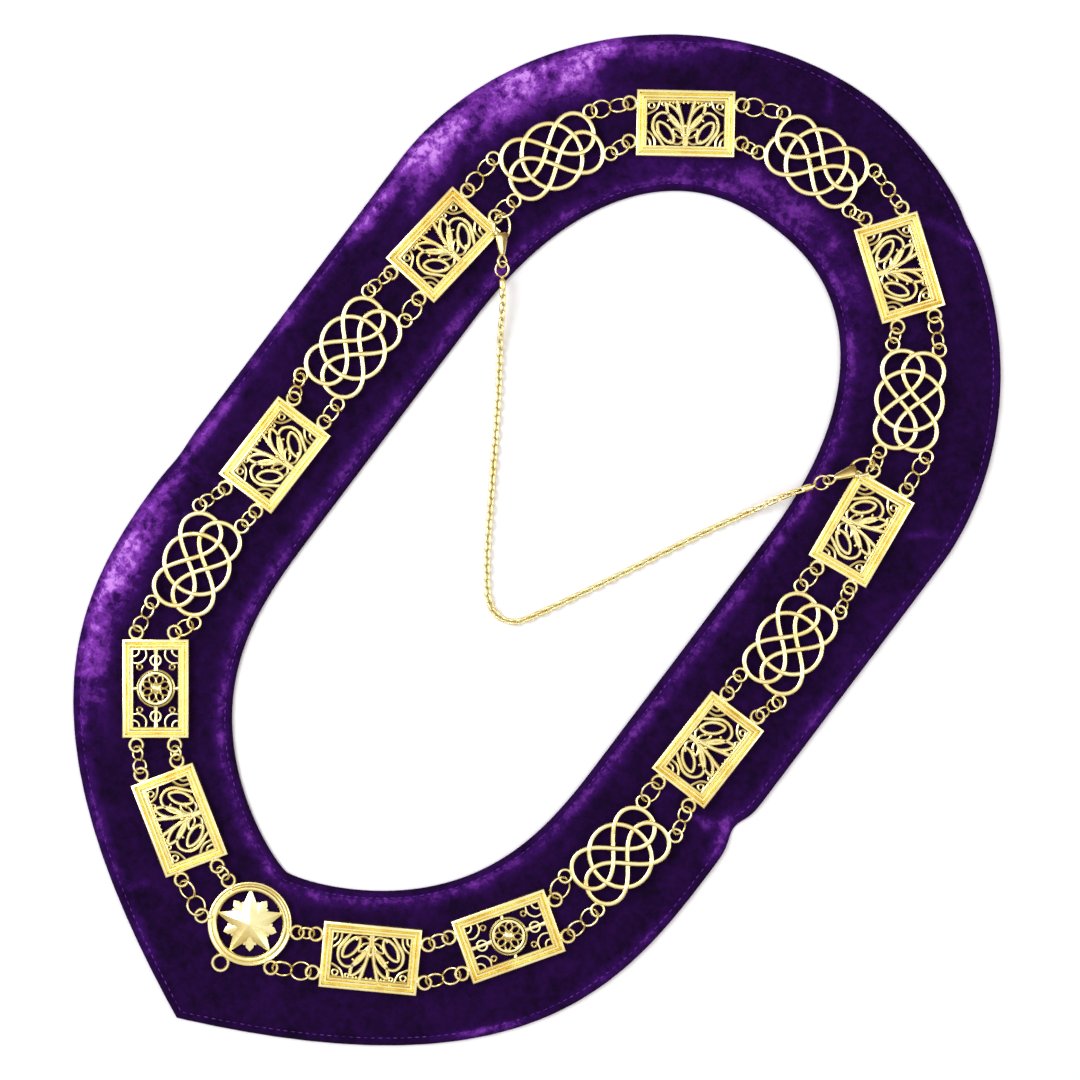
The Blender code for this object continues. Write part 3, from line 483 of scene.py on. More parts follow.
# the rosette: two rings, petals at equal turns, a stepped hub, four bars to the frame, and corner scrolls
def rosetteFret(shape, plate):
    z = plate["fretMiddle"]
    main = wireSection(1.4, plate["fretHeight"] * 1.1, 10, 2.3)
    fine = wireSection(0.8, plate["fretHeight"] * 0.8, 6, 2.3)
    shells = [carry(ringPath(shape["ring"], 48, (0, 0, z)), main, closed=True)]
    shells.append(carry(ringPath(shape["ring"] + 1.35, 48, (0, 0, z)), fine, closed=True))
    near, far, wide = shape["petal"]
    for step in range(shape["petals"]):
        angle = 2 * math.pi * (step + 0.5) / shape["petals"]
        ahead = np.array([math.cos(angle), math.sin(angle)])
        shells.append(carry(leafPath(ahead * near, ahead * far, wide, 20, z=z), fine, closed=True))
    wide = shape["hub"]
    hub = [(0.05, 0.6), (wide, 0.6), (wide, 2.3), (1.7, 2.75), (1.1, 2.9), (0.6, 3.25), (0.05, 3.35)]
    shells.append(spun(hub, 20))
    halfLong = plate["length"] / 2 - plate["border"] + 0.3
    halfWide = plate["width"] / 2 - plate["border"] + 0.3
    reach = shape["ring"] + 1.2
    bar = wireSection(shape["bar"], 1.3, 8, 3)
    waist = np.array([1.3, 0.9, 0.8, 0.9, 1.3])
    for ahead, far in (((1, 0), halfLong), ((-1, 0), halfLong), ((0, 1), halfWide), ((0, -1), halfWide)):
        places = np.linspace(reach, far, 5)[:, None]
        shells.append(carry([0, 0, z] + np.array([*ahead, 0.0]) * places, bar, sizes=waist))
    for hand in (1, -1):
        shells.append(carry(ringPath(2.3, 22, (hand * 12.6, 0, z)), main * 0.8, closed=True))
        for rise in (1, -1):
            flip = np.array([hand, rise, 1])
            for corners in shape["cornerScrolls"]:
                path = smoothPath(corners, 5, z=z) * flip
                shells.append(carry(path, main * 0.75, sizes=tapered(len(path), 0.9, 0.7)))
            shells.append(carry(ringPath(1.15, 14, (hand * 9.6, rise * 7.3, z)), fine, closed=True))
    return shells


# knot links: two crossed loops side by side and an oval ring, woven over and under
knotShape = {
    "halfLength": 22.0,
    "offset": 4.7,
    "rise": 9.2,
    "ringLength": 26.6,
    "ringWidth": 29.8,
    "strand": 2.25,
    "height": 1.5,
    "weave": 0.34,
    "roundness": 1.4,
    "lugAngle": 0.27,
}


# the loops follow x = -(L - r) cos t - r cos 3t, y = ±(offset + rise sin 2t), where r rounds their lobes;
# the ring is an oval
def knotCurves(shape, count=168):
    turn = 2 * np.pi * np.arange(count) / count
    bulge = shape["roundness"]
    x = -(shape["halfLength"] - bulge) * np.cos(turn) - bulge * np.cos(3 * turn)
    y = shape["offset"] + shape["rise"] * np.sin(2 * turn)
    oval = np.column_stack([shape["ringLength"] * np.cos(turn), shape["ringWidth"] * np.sin(turn)]) / 2
    return [np.column_stack([x, y]), np.column_stack([x, -y]), oval]


# where two stretches of the curves cross: solves both line equations for every pair at once
def crossings(curves):
    start = np.vstack(curves)
    after = np.vstack([np.roll(curve, -1, 0) for curve in curves])
    step = after - start
    gap = start[None] - start[:, None]
    area = step[:, None, 0] * step[None, :, 1] - step[:, None, 1] * step[None, :, 0]
    area = np.where(np.abs(area) < 1e-9, 1e9, area)
    mine = (gap[..., 0] * step[None, :, 1] - gap[..., 1] * step[None, :, 0]) / area
    other = (gap[..., 0] * step[:, None, 1] - gap[..., 1] * step[:, None, 0]) / area
    hit = (mine > 0) & (mine <= 1) & (other > 0) & (other <= 1)
    one, two = np.nonzero(hit)
    keep = np.abs(one - two) > 2
    return one[keep] + mine[one[keep], two[keep]], two[keep] + mine[two[keep], one[keep]]


# height along each curve: a soft bump up or down at each crossing, turn and turn about along the strand
def wovenHeights(curves, weave):
    mine, other = crossings(curves)
    count = len(curves[0])
    order = np.argsort(mine)
    mine, other = mine[order], other[order]
    partner = np.array([int(np.argmin(np.abs(mine - value))) for value in other])
    over = np.zeros(len(mine))
    for first in range(len(mine)):
        queue = [(first, 1)]
        while queue:
            spot, sign = queue.pop()
            if over[spot]:
                continue
            over[spot] = sign
            queue.append((int(partner[spot]), -sign))
            same = np.nonzero(mine // count == mine[spot] // count)[0]
            place = int(np.nonzero(same == spot)[0][0])
            queue.append((int(same[(place + 1) % len(same)]), -sign))
    heights = []
    along = np.arange(count)
    for index in range(len(curves)):
        here = np.nonzero(mine // count == index)[0]
        away = (along[:, None] - (mine[here] % count)[None] + count / 2) % count - count / 2
        heights.append(weave * np.tanh((over[here] * np.exp(-(away / 3.6) ** 2)).sum(1) * 1.4))
    return heights


# a lug stands square to the loop x = L cos t, y = offset + rise sin 2t at the lug's t; three more mirror it
def knotLugs(shape):
    angle, reach, rise = shape["lugAngle"], shape["halfLength"], shape["rise"]
    point = np.array([reach * math.cos(angle), shape["offset"] + rise * math.sin(2 * angle)])
    slope = np.array([-reach * math.sin(angle), 2 * rise * math.cos(2 * angle)])
    outward = np.array([slope[1], -slope[0]]) / np.linalg.norm(slope)
    x, y = point + outward * (lugShape["radius"] + 2 * lugShape["standoff"])
    facing = math.atan2(outward[1], outward[0])
    return [
        (end * x, side * y, side * facing if end > 0 else math.pi - side * facing)
        for end in (1, -1) for side in (1, -1)
    ]


# the three curves, each with its section carried along it at its woven height
def knotStrands(shape):
    curves = knotCurves(shape)
    section = wireSection(shape["strand"], shape["height"], 10, 2.5)
    shells = []
    for curve, height in zip(curves, wovenHeights(curves, shape["weave"])):
        shells.append(carry(np.column_stack([curve, rowHeight + height]), section, closed=True))
    return shells


starShape = {
    "diameter": 38.0,
    "long": 15.9,
    "valley": 0.45,
    "lift": 3.6,
    "edge": 1.6,
    "lugAngle": 27,
    "loopRadius": 3.5,
    "loopWire": 1.5,
    # the short rays between two long points: turn from the long point in degrees, and radius in mm
    "shortRays": [(17, 7.2), (18.5, 10.2), (25.5, 10.0), (27, 11.0), (36, 12.6)],
    "rimSection": [
        (19.0, 0.0), (19.0, 2.9), (18.75, 3.3), (18.3, 3.45), (17.7, 3.2), (17.3, 2.95), (16.9, 3.1),
        (16.4, 3.7), (15.8, 3.8), (15.2, 3.55), (14.8, 3.0), (14.8, 0.3), (15.1, 0.0),
    ],
}


# the star's four lugs stand outside its rim, at the same turn from its long axis
def starLugs(shape):
    reach = shape["diameter"] / 2 + lugShape["radius"] - lugShape["standoff"]
    angle = shape["lugAngle"]
    turns = [math.radians(degrees) for degrees in (angle, -angle, 180 - angle, 180 + angle)]
    return [(reach * math.cos(turn), reach * math.sin(turn), turn) for turn in turns]


# a pointed star: an outline lifted from the base to its edge, then in flat facets to one peak
def facetedStar(turns, radii, base, edge, peak):
    outline = np.column_stack([radii * np.cos(turns), radii * np.sin(turns), 0 * radii])
    rows = [(0.02, base), (1, base), (1, edge), (0.004, peak)]
    return skin(np.stack([outline * share + [0, 0, height] for share, height in rows]), caps=True)


# the long star over the star of short rays, the rim spun round them, and the free loop below
def starSolid(shape):
    fifths = np.arange(5) * 72 - 90
    turns = np.radians(np.column_stack([fifths, fifths + 36]).ravel())
    radii = np.tile([shape["long"], shape["long"] * shape["valley"]], 5)
    shells = [facetedStar(turns, radii, 1.0, shape["edge"], shape["edge"] + shape["lift"] - 0.6)]
    rays = np.array(shape["shortRays"])
    half = np.vstack([rays, np.column_stack([72 - rays[-2::-1, 0], rays[-2::-1, 1]])])
    turns = np.radians((fifths[:, None] + half[None, :, 0]).ravel())
    shells.append(facetedStar(turns, np.tile(half[:, 1], 5), 0.6, 1.3, 3.0))
    shells.append(spun(shape["rimSection"], 96))
    reach = shape["diameter"] / 2 + shape["loopRadius"] - 0.6
    loopHeight = rowHeight - 0.8
    shells += lug(0, -reach, -math.pi / 2, radius=shape["loopRadius"], wire=shape["loopWire"], z=loopHeight)
    return shells


# middle and facing of a link's four lugs, by its kind
def lugCentres(kind):
    if kind == "star":
        return starLugs(starShape)
    return knotLugs(knotShape) if kind == "knot" else plateLugs(plateShape)


linkShells = {
    "star": starSolid(starShape),
    "filigree": [plateFrame(plateShape)] + filigreeFret(filigreeShape, plateShape),
    "rosette": [plateFrame(plateShape)] + rosetteFret(rosetteShape, plateShape),
    "knot": knotStrands(knotShape),
}
cadNames = {
    "star": "star_medallion",
    "filigree": "filigree_plate",
    "rosette": "rosette_plate",
    "knot": "knot_link",
}
counts = {}
for kind, x, y, turn in linkRoute:
    counts[kind] = counts.get(kind, 0) + 1
    cadName = cadNames[kind] if kind == "star" else f"{cadNames[kind]}_{counts[kind]}"
    eyes = [shell for centre in lugCentres(kind) for shell in lug(*centre)]
    shells = turned(linkShells[kind] + eyes, flatMatrix(x, y, turn, plateBack))
    giltPiece(cadName, shells, 60 if kind == "knot" else 38)
print("plates, knots and star ready")

ringShape = {
    "wire": 1.15,
    "cadWire": 0.85,  # mm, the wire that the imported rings' places were worked out with
    "lugWire": 0.9,  # mm, and the lugs' wire
    "slack": 1.3,
    "least": 3.2,
    "rollMost": 40,
    "overlap": 0.55,  # how far each ring reaches into the next, as a share of the wire
    "long": 20.0,  # mm, outer rows longer than this have three rings
}


# where a link's lug lies in the collar: toward is +1 for the link's far end, side is +1 for its neck side
def lugPoint(link, toward, side):
    kind, x, y, turn = link
    centre = next(c for c in lugCentres(kind) if (c[0] > 0) == (toward > 0) and (c[1] > 0) == (side > 0))
    return (flatMatrix(x, y, turn, plateBack) @ np.array([centre[0], centre[1], rowHeight, 1]))[:3]


# how a row between two lugs is filled: the rings' count, radius, spacing and roll; radius =
# (length - 2 reach + (count - 1) overlap) / (2 count)
def rowPlan(start, end, side, shape):
    length = np.linalg.norm(end - start)
    count = 1 if side > 0 else (3 if length > shape["long"] else 2)
    overlap = shape["overlap"] * shape["cadWire"]
    reach = lugShape["radius"] - (shape["cadWire"] + shape["lugWire"]) / 2 - shape["slack"]
    radius = max((length - 2 * reach + (count - 1) * overlap) / (2 * count), shape["least"])
    flattest = math.asin(min((rowHeight - shape["cadWire"] / 2) / radius, 1))
    roll = min(flattest, math.radians(shape["rollMost"]))
    return count, radius, 2 * radius - overlap, roll


# rings in a line from lug to lug, rolled to either side by turns, so that each passes through the next
def ringRow(start, end, side, shape):
    count, radius, spacing, roll = rowPlan(start, end, side, shape)
    along = unit(end - start)
    across = np.array([-along[1], along[0], 0])
    section = wireSection(shape["wire"], shape["wire"], 8)
    shells = []
    for step in range(count):
        angle = roll if step % 2 == 0 else -roll
        tilted = across * math.cos(angle) + up * math.sin(angle)
        centre = (start + end) / 2 + along * spacing * (step - (count - 1) / 2)
        path = ringPath(radius, 30, centre, along, tilted)
        shells.append(carry(path, section, closed=True, facing=np.cross(along, tilted)))
    return shells


for index, link in enumerate(linkRoute):
    after = linkRoute[(index + 1) % len(linkRoute)]
    for side, label in ((1, "inner_rings"), (-1, "outer_rings")):
        shells = ringRow(lugPoint(link, 1, side), lugPoint(after, -1, side), side, ringShape)
        giltPiece(f"{label}_{index + 1:02d}", shells)
print("ring rows ready")

# each clasp's tail in mm, then the way it points and tips, its roll, and its end ring's roll, in degrees
claspShape = {
    "left": {
        "tail": (-87.758, 100.716, 7.107), "heading": 127.0, "pitch": 1.0, "roll": 36.2, "ringRoll": 30.0,
    },
    "right": {
        "tail": (88.682, 110.763, 7.286), "heading": 58.6, "pitch": 0.3, "roll": 144.5, "ringRoll": -30.0,
    },
    "mouthMiddle": 15.7,
    "mouthHalfLong": 5.6,
    "mouthHalfWide": 4.3,
    "clawArc": (-64, 154),  # degrees round the mouth, from root to tip
    "leverArc": (208, 163),
    "pivotAngle": 218,
    "tailReach": 0.2,  # mm from the tail's middle to the end ring's near side
    "endRing": 3.4,
    "endWire": 1.0,
}


# the clasp's frame: its y axis points ahead by heading and pitch, and roll turns it about that axis
def claspMatrix(place):
    heading, pitch, roll = (math.radians(place[key]) for key in ("heading", "pitch", "roll"))
    level = math.cos(pitch)
    forward = np.array([math.cos(heading) * level, math.sin(heading) * level, math.sin(pitch)])
    right = unit(np.cross(forward, up))
    flat = np.stack([right, forward, np.cross(right, forward)], axis=1)
    c, s = math.cos(roll), math.sin(roll)
    matrix = np.eye(4)
    matrix[:3, :3] = flat @ np.array([[c, 0, s], [0, 1, 0], [-s, 0, c]])
    matrix[:3, 3] = place["tail"]
    return matrix


# points of the mouth's oval at the given degrees round it
def mouthPath(shape, degrees):
    angle = np.radians(degrees)
    x = shape["mouthHalfWide"] * np.cos(angle)
    y = shape["mouthMiddle"] + shape["mouthHalfLong"] * np.sin(angle)
    return np.column_stack([x, y, 0 * angle])


# a flattened bar: its middle, half width and half thickness are straight between the rows of a short table
def flatBar(table, count=22, round_=14):
    table = np.array(table, float)
    y = np.linspace(table[0, 0], table[-1, 0], count)
    middle, wide, thick = (np.interp(y, table[:, 0], table[:, column]) for column in (1, 2, 3))
    section = wireSection(2, 2, round_, 3.0)
    grid = np.stack([
        middle[:, None] + wide[:, None] * section[None, :, 0],
        np.repeat(y[:, None], round_, 1),
        thick[:, None] * section[None, :, 1],
    ], axis=-1)
    return skin(grid, caps=True)


# the clasp's body: tail loop, flattened bar, claw, and two cheeks with a pin at the lever's pivot
def claspShells(shape):
    teardrop = [
        (0.0, 3.4), (-1.15, 2.2), (-2.2, 0.4), (-2.1, -1.2), (-1.1, -2.3), (0.0, -2.55), (1.1, -2.3),
        (2.1, -1.2), (2.2, 0.4), (1.15, 2.2),
    ]
    loop = smoothPath(teardrop, 3, closed=True)
    shells = [carry(loop, wireSection(1.15, 1.25, 8, 2.3), closed=True)]
    # along the clasp: place, middle of the width, half width, half thickness
    body = [
        (2.3, 0.0, 0.8, 0.7), (3.2, 0.0, 1.4, 1.05), (5.0, 0.0, 1.95, 1.2), (8.0, 0.0, 2.6, 1.25),
        (10.6, 0.0, 3.1, 1.2), (11.6, 0.1, 3.15, 1.05), (12.4, 0.6, 2.5, 0.8), (13.0, 1.4, 1.3, 0.5),
    ]
    shells.append(flatBar(body))
    claw = mouthPath(shape, np.linspace(*shape["clawArc"], 34))
    sizes = np.interp(np.linspace(0, 1, 34), [0, 0.12, 0.5, 0.9, 1], [1.5, 1.05, 1.0, 0.95, 0.55])
    shells.append(carry(claw, wireSection(1.4, 1.35, 10, 2.3), sizes=sizes))
    pivot = mouthPath(shape, [shape["pivotAngle"]])[0]
    cheek = [(0.05, 0.62), (1.2, 0.62), (1.2, 1.05), (1.0, 1.2), (0.5, 1.22), (0.45, 1.35), (0.05, 1.4)]
    for hand in (1, -1):
        shells.append(spun([(r, z * hand) for r, z in cheek], 18, pivot))
    shells.append(spun([(0.05, -1.0), (0.45, -1.0), (0.45, 1.0), (0.05, 1.0)], 12, pivot))
    return shells


# the lever: an arm along the mouth's oval, a hub between the cheeks, and a thumb piece outside
def leverShells(shape):
    pivot = mouthPath(shape, [shape["pivotAngle"]])[0]
    arm = mouthPath(shape, np.linspace(*shape["leverArc"], 16))
    sizes = np.interp(np.linspace(0, 1, 16), [0, 0.4, 0.85, 1], [1.0, 1.15, 0.95, 0.6])
    shells = [carry(arm, wireSection(1.6, 0.95, 10, 2.6), sizes=sizes)]
    hub = [(0.75, -0.4), (1.2, -0.4), (1.2, 0.4), (0.75, 0.4)]
    shells.append(spun(hub, 18, pivot))
    thumb = pivot + [(-0.9, 0.3, 0), (-1.6, 0.9, 0), (-2.0, 1.7, 0)]
    shells.append(carry(thumb, wireSection(0.95, 0.8, 8, 2.3), sizes=np.array([1.1, 1.0, 0.75])))
    return shells


matrices = {}
for side in ("left", "right"):
    matrices[side] = claspMatrix(claspShape[side])
    giltPiece("clasp_" + side, turned(claspShells(claspShape), matrices[side]), 50)
    giltPiece("lever_" + side, turned(leverShells(claspShape), matrices[side]), 50, side + "_lever")
print("clasps ready")

# back chain: cable links, each rolled a quarter turn from the one before it and all leaning on the floor
chainShape = {
    "width": 3.6,
    "link": 5.8,
    "pitch": 3.42,
    "wire": 1.15,
    "rest": 1.55,  # mm, middle of the chain above the floor
    "endCap": 6.2,
    "inCap": 1.0,  # mm from a cap's end to the middle of the first link
    # the way the chain lies: x, y in mm and height as a share of the way from the floor to its end rings
    "route": [
        (-76.5, 86.5, 0.94), (-69.7, 75.9, 0.55), (-64.0, 67.5, 0.12), (-51.8, 49.9, 0.0),
        (-34.6, 23.4, 0.0), (-17.5, -3.1, 0.0), (-8.4, -15.9, 0.0), (-1.4, -24.0, 0.0), (5.8, -27.6, 0.0),
        (13.6, -25.8, 0.0), (19.3, -18.5, 0.0), (34.9, 11.1, 0.0), (57.3, 56.1, 0.0), (66.8, 74.0, 0.12),
        (71.8, 83.3, 0.55), (77.5, 93.8, 0.94),
    ],
}


# the ring between a clasp's tail and the chain, and the point where the chain starts
def endRing(matrix, place, shape):
    forward = matrix[:3, 1]
    back = unit(np.array([-forward[0], -forward[1], 0]))
    centre = matrix[:3, 3] + back * (shape["endRing"] + shape["tailReach"])
    roll = math.radians(place["ringRoll"])
    across = np.array([-back[1] * math.cos(roll), back[0] * math.cos(roll), math.sin(roll)])
    path = ringPath(shape["endRing"], 34, centre, back, across)
    section = wireSection(shape["endWire"], shape["endWire"], 8)
    ring = carry(path, section, closed=True, facing=np.cross(back, across))
    return ring, centre + back * shape["endRing"]


# a link's midline: two half turns joined by straights, as (along, across) pairs
def linkLoop(length, width, wire, count):
    turn = 2 * np.pi * (np.arange(count) + 0.5) / count
    radius = (width - wire) / 2
    straight = (length - wire) / 2 - radius
    along = np.cos(turn) * radius + np.sign(np.cos(turn)) * straight
    return np.column_stack([along, np.sin(turn) * radius])


# a cap at each end ring, and an odd number of links at equal places between the caps, along the route
def chainShells(shape, clasps):
    ends = [endRing(matrices[side], clasps[side], clasps) for side in ("left", "right")]
    low, high = shape["rest"], ends[0][1][2]
    route = np.array([(x, y, low + share * (high - low)) for x, y, share in shape["route"]])
    path = smoothPath(np.vstack([ends[0][1], route, ends[1][1]]), 20)
    lengths = lengthsAlong(path)
    length = lengths[-1]
    steps = np.linspace(0, length, 1200)
    dense = pointsAlong(path, lengths, steps)
    capped = shape["endCap"]
    first = capped + shape["inCap"]
    count = int(round((length - 2 * capped + 2.5) / shape["pitch"]))
    count += 1 - count % 2
    places = np.linspace(first, length - first, count)
    middles = pointsAlong(dense, steps, places)
    along = unit(pointsAlong(dense, steps, places + 1.0) - pointsAlong(dense, steps, places - 1.0))
    sideways = unit(np.cross(along, up))
    upright = np.cross(sideways, along)
    loop = linkLoop(shape["link"], shape["width"], shape["wire"], 16)
    section = wireSection(shape["wire"], shape["wire"], 6)
    shells = [ring for ring, _ in ends]
    for index in range(count):
        lean = 1 if index % 2 == 0 else -1
        across = (sideways[index] + lean * upright[index]) * math.sqrt(0.5)
        normal = (upright[index] - lean * sideways[index]) * math.sqrt(0.5)
        points = middles[index] + loop[:, :1] * along[index] + loop[:, 1:] * across
        shells.append(carry(points, section, closed=True, facing=normal))
    places = np.linspace(0.3, capped, 10)
    for reach in (places, length - places):
        cap = pointsAlong(dense, steps, reach)
        sizes = np.interp(places, [0.3, 0.9, 1.8, 4.6, capped], [0.45, 0.5, 1.0, 1.1, 0.75])
        shells.append(carry(cap, wireSection(3.0, 2.6, 12, 2.2), sizes=sizes))
    return shells


giltPiece("back_chain", chainShells(chainShape, claspShape))
print("back chain ready")

bandShape = {
    "outer": {"half": 152.5, "back": 259.7, "front": 259.7, "backCurve": 148.7, "frontCurve": 200.7,
              "backP": 1.9, "backQ": 1.9, "frontP": 2.95, "frontQ": 1.0},
    "neck": {"half": 82.4, "back": 187.0, "front": 177.5, "backCurve": 116.0, "frontCurve": 128.5,
             "backP": 2.3, "backQ": 2.3, "frontP": 3.0, "frontQ": 1.3},
    "stations": 840,
    "stitchInset": 3.5,
    "stitchPitch": 3.3,
    "threadRadius": 0.26,
    "field": 2.2,
    # pucker and folds of the outer edge: place round the band from its front point, width, draw and sink
    "puckers": [(0.215, 11.0, 3.4, 0.4), (0.446, 10.0, 0.6, 0.3), (0.797, 12.0, 0.7, 0.3)],
    # creases pressed into the cloth: from x, y to x, y, depth and half width in mm
    "creases": [
        (-146.0, -86.5, -133.0, -76.5, 0.55, 1.6), (-147.0, -56.0, -134.0, -58.0, 0.45, 1.4),
        (-119.5, 192.5, -101.0, 186.5, 0.6, 1.8), (46.0, 229.0, 73.0, 233.5, 0.6, 2.0),
        (151.0, -41.0, 133.5, -47.0, 0.8, 2.2), (150.0, -52.0, 137.0, -49.0, 0.5, 2.0),
        (143.0, 120.0, 131.0, 112.0, 0.4, 1.8), (-20.0, 257.0, -14.0, 243.0, 0.4, 1.8),
        (-60.0, -236.0, -50.0, -222.0, 0.4, 1.8), (-136.0, 146.0, -126.0, 140.0, 0.45, 1.6),
    ],
}


# half of the outline, from the front point round its right side to the back: half width = a (1 - t^p)^(1/q)
def halfOutline(shape, steps=400):
    rise = np.sin(np.pi / 2 * np.linspace(0, 1, steps))
    parts = []
    for end, share, sign in (("front", 1 - rise, -1), ("back", rise[1:], 1)):
        x = shape["half"] * (1 - share ** shape[end + "P"]) ** (1 / shape[end + "Q"])
        parts.append(np.column_stack([x, sign * (shape[end] - shape[end + "Curve"] * (1 - share))]))
    return np.vstack(parts)


# points at equal shares of the way round the closed outline, starting at its front point
def roundOutline(shape, shares):
    half = halfOutline(shape)
    loop = np.vstack([half, half[::-1] * [-1, 1]])
    lengths = lengthsAlong(loop)
    return pointsAlong(loop, lengths, shares * lengths[-1]), lengths[-1]


# both edges, the outer one drawn in by pull e^(-(s / 0.7 width)^2) at each pucker, and each station's sink
def bandEdges(shape, shares):
    outer, length = roundOutline(shape["outer"], shares)
    neck, _ = roundOutline(shape["neck"], shares)
    across = unit(outer - neck)
    draw = np.zeros(len(shares))
    sink = np.zeros(len(shares))
    for place, width, pull, low in shape["puckers"]:
        swell = np.exp(-((shares - place) * length / width / 0.7) ** 2)
        draw += pull * swell
        sink += low * swell
    return outer - across * draw[:, None], neck, sink


# soft ripples of the cloth: a few slow waves crossing at odd angles, in mm
def ripples(x, y):
    slow = np.sin(x / 23 + y / 31 + 0.6) * np.sin(y / 17 - x / 40)
    quick = np.sin(x / 7.3 - y / 11.9 + 1.2) * np.sin(y / 9.1 + x / 15.7)
    return 0.6 * slow + 0.4 * quick


# each crease is a valley e^(-(b / wide)^2) along its line, with a low ridge beside it; b wavers a little
def creaseDepth(x, y, creases):
    depth = np.zeros_like(x)
    for x1, y1, x2, y2, deep, wide in creases:
        along = np.array([x2 - x1, y2 - y1])
        length = np.hypot(*along)
        along = along / length
        ahead = (x - x1) * along[0] + (y - y1) * along[1]
        beside = -(x - x1) * along[1] + (y - y1) * along[0] + 0.9 * np.sin(ahead / 3.1)
        window = np.exp(-(np.maximum(np.abs(ahead - length / 2) - length / 2, 0) / 3.0) ** 2)
        ridge = 0.55 * np.exp(-((beside - 1.9 * wide) / wide) ** 2)
        depth += window * deep * (np.exp(-(beside / wide) ** 2) - ridge)
    return depth


# painted sheen, bright where the pile catches the light: place round the band from its front point, spread
# of that, reach in from the outer edge in mm, and strength; strong along the left side's margin and the top
# left
paintedSheenZones = [
    (0.845, 0.022, 15, 1.0), (0.875, 0.016, 14, 0.7), (0.818, 0.014, 9, 0.75), (0.788, 0.026, 5.5, 0.55),
    (0.735, 0.030, 4.5, 0.5), (0.692, 0.016, 8, 0.8), (0.662, 0.018, 17, 1.0), (0.628, 0.018, 19, 1.0),
    (0.602, 0.012, 19, 1.0), (0.570, 0.016, 11, 0.42), (0.545, 0.012, 3.5, 0.45), (0.105, 0.018, 3.2, 0.7),
    (0.165, 0.022, 4.5, 0.42), (0.216, 0.010, 6, 0.5), (0.262, 0.040, 6, 0.26), (0.330, 0.040, 4, 0.2),
    (0.420, 0.040, 3, 0.18), (0.930, 0.022, 4.5, 0.4), (0.900, 0.008, 6, 0.5), (0.966, 0.014, 5, 0.34),
]


# painted sheen, the strongest of: each zone's e^(-(s / spread)^2.6) e^(-(d / reach)^3), a line beside the
# neck's hem, light along the creases, and the margin of the neck at the back
def paintedPileSheen(x, y, places, toEdge, toNeck):
    light = np.zeros_like(x)
    wander = 0.006 * np.sin(toEdge / 5.0 + x / 21)
    for place, spread, reach, strength in paintedSheenZones:
        near = np.exp(-(np.abs(places[:, None] + wander - place) / spread) ** 2.6)
        light = np.maximum(light, strength * near * np.exp(-(np.maximum(toEdge - 1, 0) / reach) ** 3))
    light *= 0.4 + 0.6 * np.clip((toEdge - 1.5) / 2.5, 0, 1)
    light = np.maximum(light, 0.30 * np.exp(-((toNeck - 5.5) / 3.2) ** 2))
    beside = creaseDepth(x - 1.5, y - 1.0, bandShape["creases"])
    light = np.maximum(light, 0.22 * np.clip(beside / 0.5, 0, 1))
    atBack = np.exp(-(((x + 5) / 66) ** 2 + ((toNeck - 12) / 8) ** 2)) * (y > 150)
    light = np.maximum(light, 0.31 * atBack)
    return light


# the band as a closed grid of stations round it and rows across it: hem, field, hem, and back underneath
def bandGrid(shape):
    count = shape["stations"]
    shares = np.arange(count) / count
    outer, neck, sink = bandEdges(shape, shares)
    width = np.linalg.norm(outer - neck, axis=1)[:, None]
    direction = (outer - neck) / width
    # the rolled hem from underneath, over its edge and down to the stitch groove: inset and height in mm
    hem = np.array([
        (3.0, 0.0), (0.9, 0.0), (0.25, 0.25), (0.0, 0.9), (0.05, 1.6), (0.45, 2.25), (1.1, 2.62),
        (1.9, 2.66), (2.6, 2.38), (3.1, 1.98), (3.5, 1.82), (3.9, 1.98), (4.5, 2.2), (5.4, 2.3),
    ])
    inner = np.linspace(0, 1, 34)[1:-1]
    field = 6.4 + inner * (width - 12.8)
    inset = np.hstack([np.repeat(hem[None, :, 0], count, 0), field, width - hem[::-1, 0]])
    level = np.concatenate([hem[:, 1], np.full(len(inner), shape["field"]), hem[::-1, 1]])
    x, y = (neck[:, axis, None] + direction[:, axis, None] * inset for axis in (0, 1))
    toEdge = width - inset
    middle = np.abs(inset / width - 0.5) * width
    # under the chain the cloth stays below the plates; toward both edges it is free to rise
    free = np.clip((middle - 18.5) / 6.0, 0, 1)
    fade = np.clip((np.minimum(toEdge, inset) - 4.2) / 2.5, 0, 1)
    wave = ripples(x, y)
    lift = np.where(wave > 0, wave * (0.1 + 0.65 * free), wave * 0.45) * fade
    puff = 0.5 * free * np.exp(-((toEdge - 10) / 5) ** 2)
    top = level + lift + puff - creaseDepth(x, y, shape["creases"]) * fade
    hemWave = 0.12 * np.sin(shares * 2 * np.pi * 97)[:, None] * (level > 1.5)
    top = np.where(level > 0, top + hemWave * (1 - fade), top)
    low = 1 - sink[:, None] * np.exp(-(toEdge / 9) ** 2)
    top = np.where(level > 0, np.maximum(top * low, 0.2), top)
    # the painted sheen of the pile at each point of the band
    pileSheen = paintedPileSheen(x, y, shares, toEdge, inset)
    return np.stack([x, y, top], axis=-1), pileSheen, outer, neck, direction


grid, pileSheen, outerEdge, neckEdge, acrossBand = bandGrid(bandShape)
cloth = [skin(grid, closedAlong=True)]
band = newPiece("velvet_cloth", cloth, velvet, nodes=["velvet_band"])
# the painted sheen goes onto the cloth as a point attribute for the velvet's colour
pile = band.data.attributes.new("paintedPileSheen", "FLOAT", "POINT")
pile.data.foreach_set("value", pileSheen.ravel().astype(np.float32))
print("velvet ready")


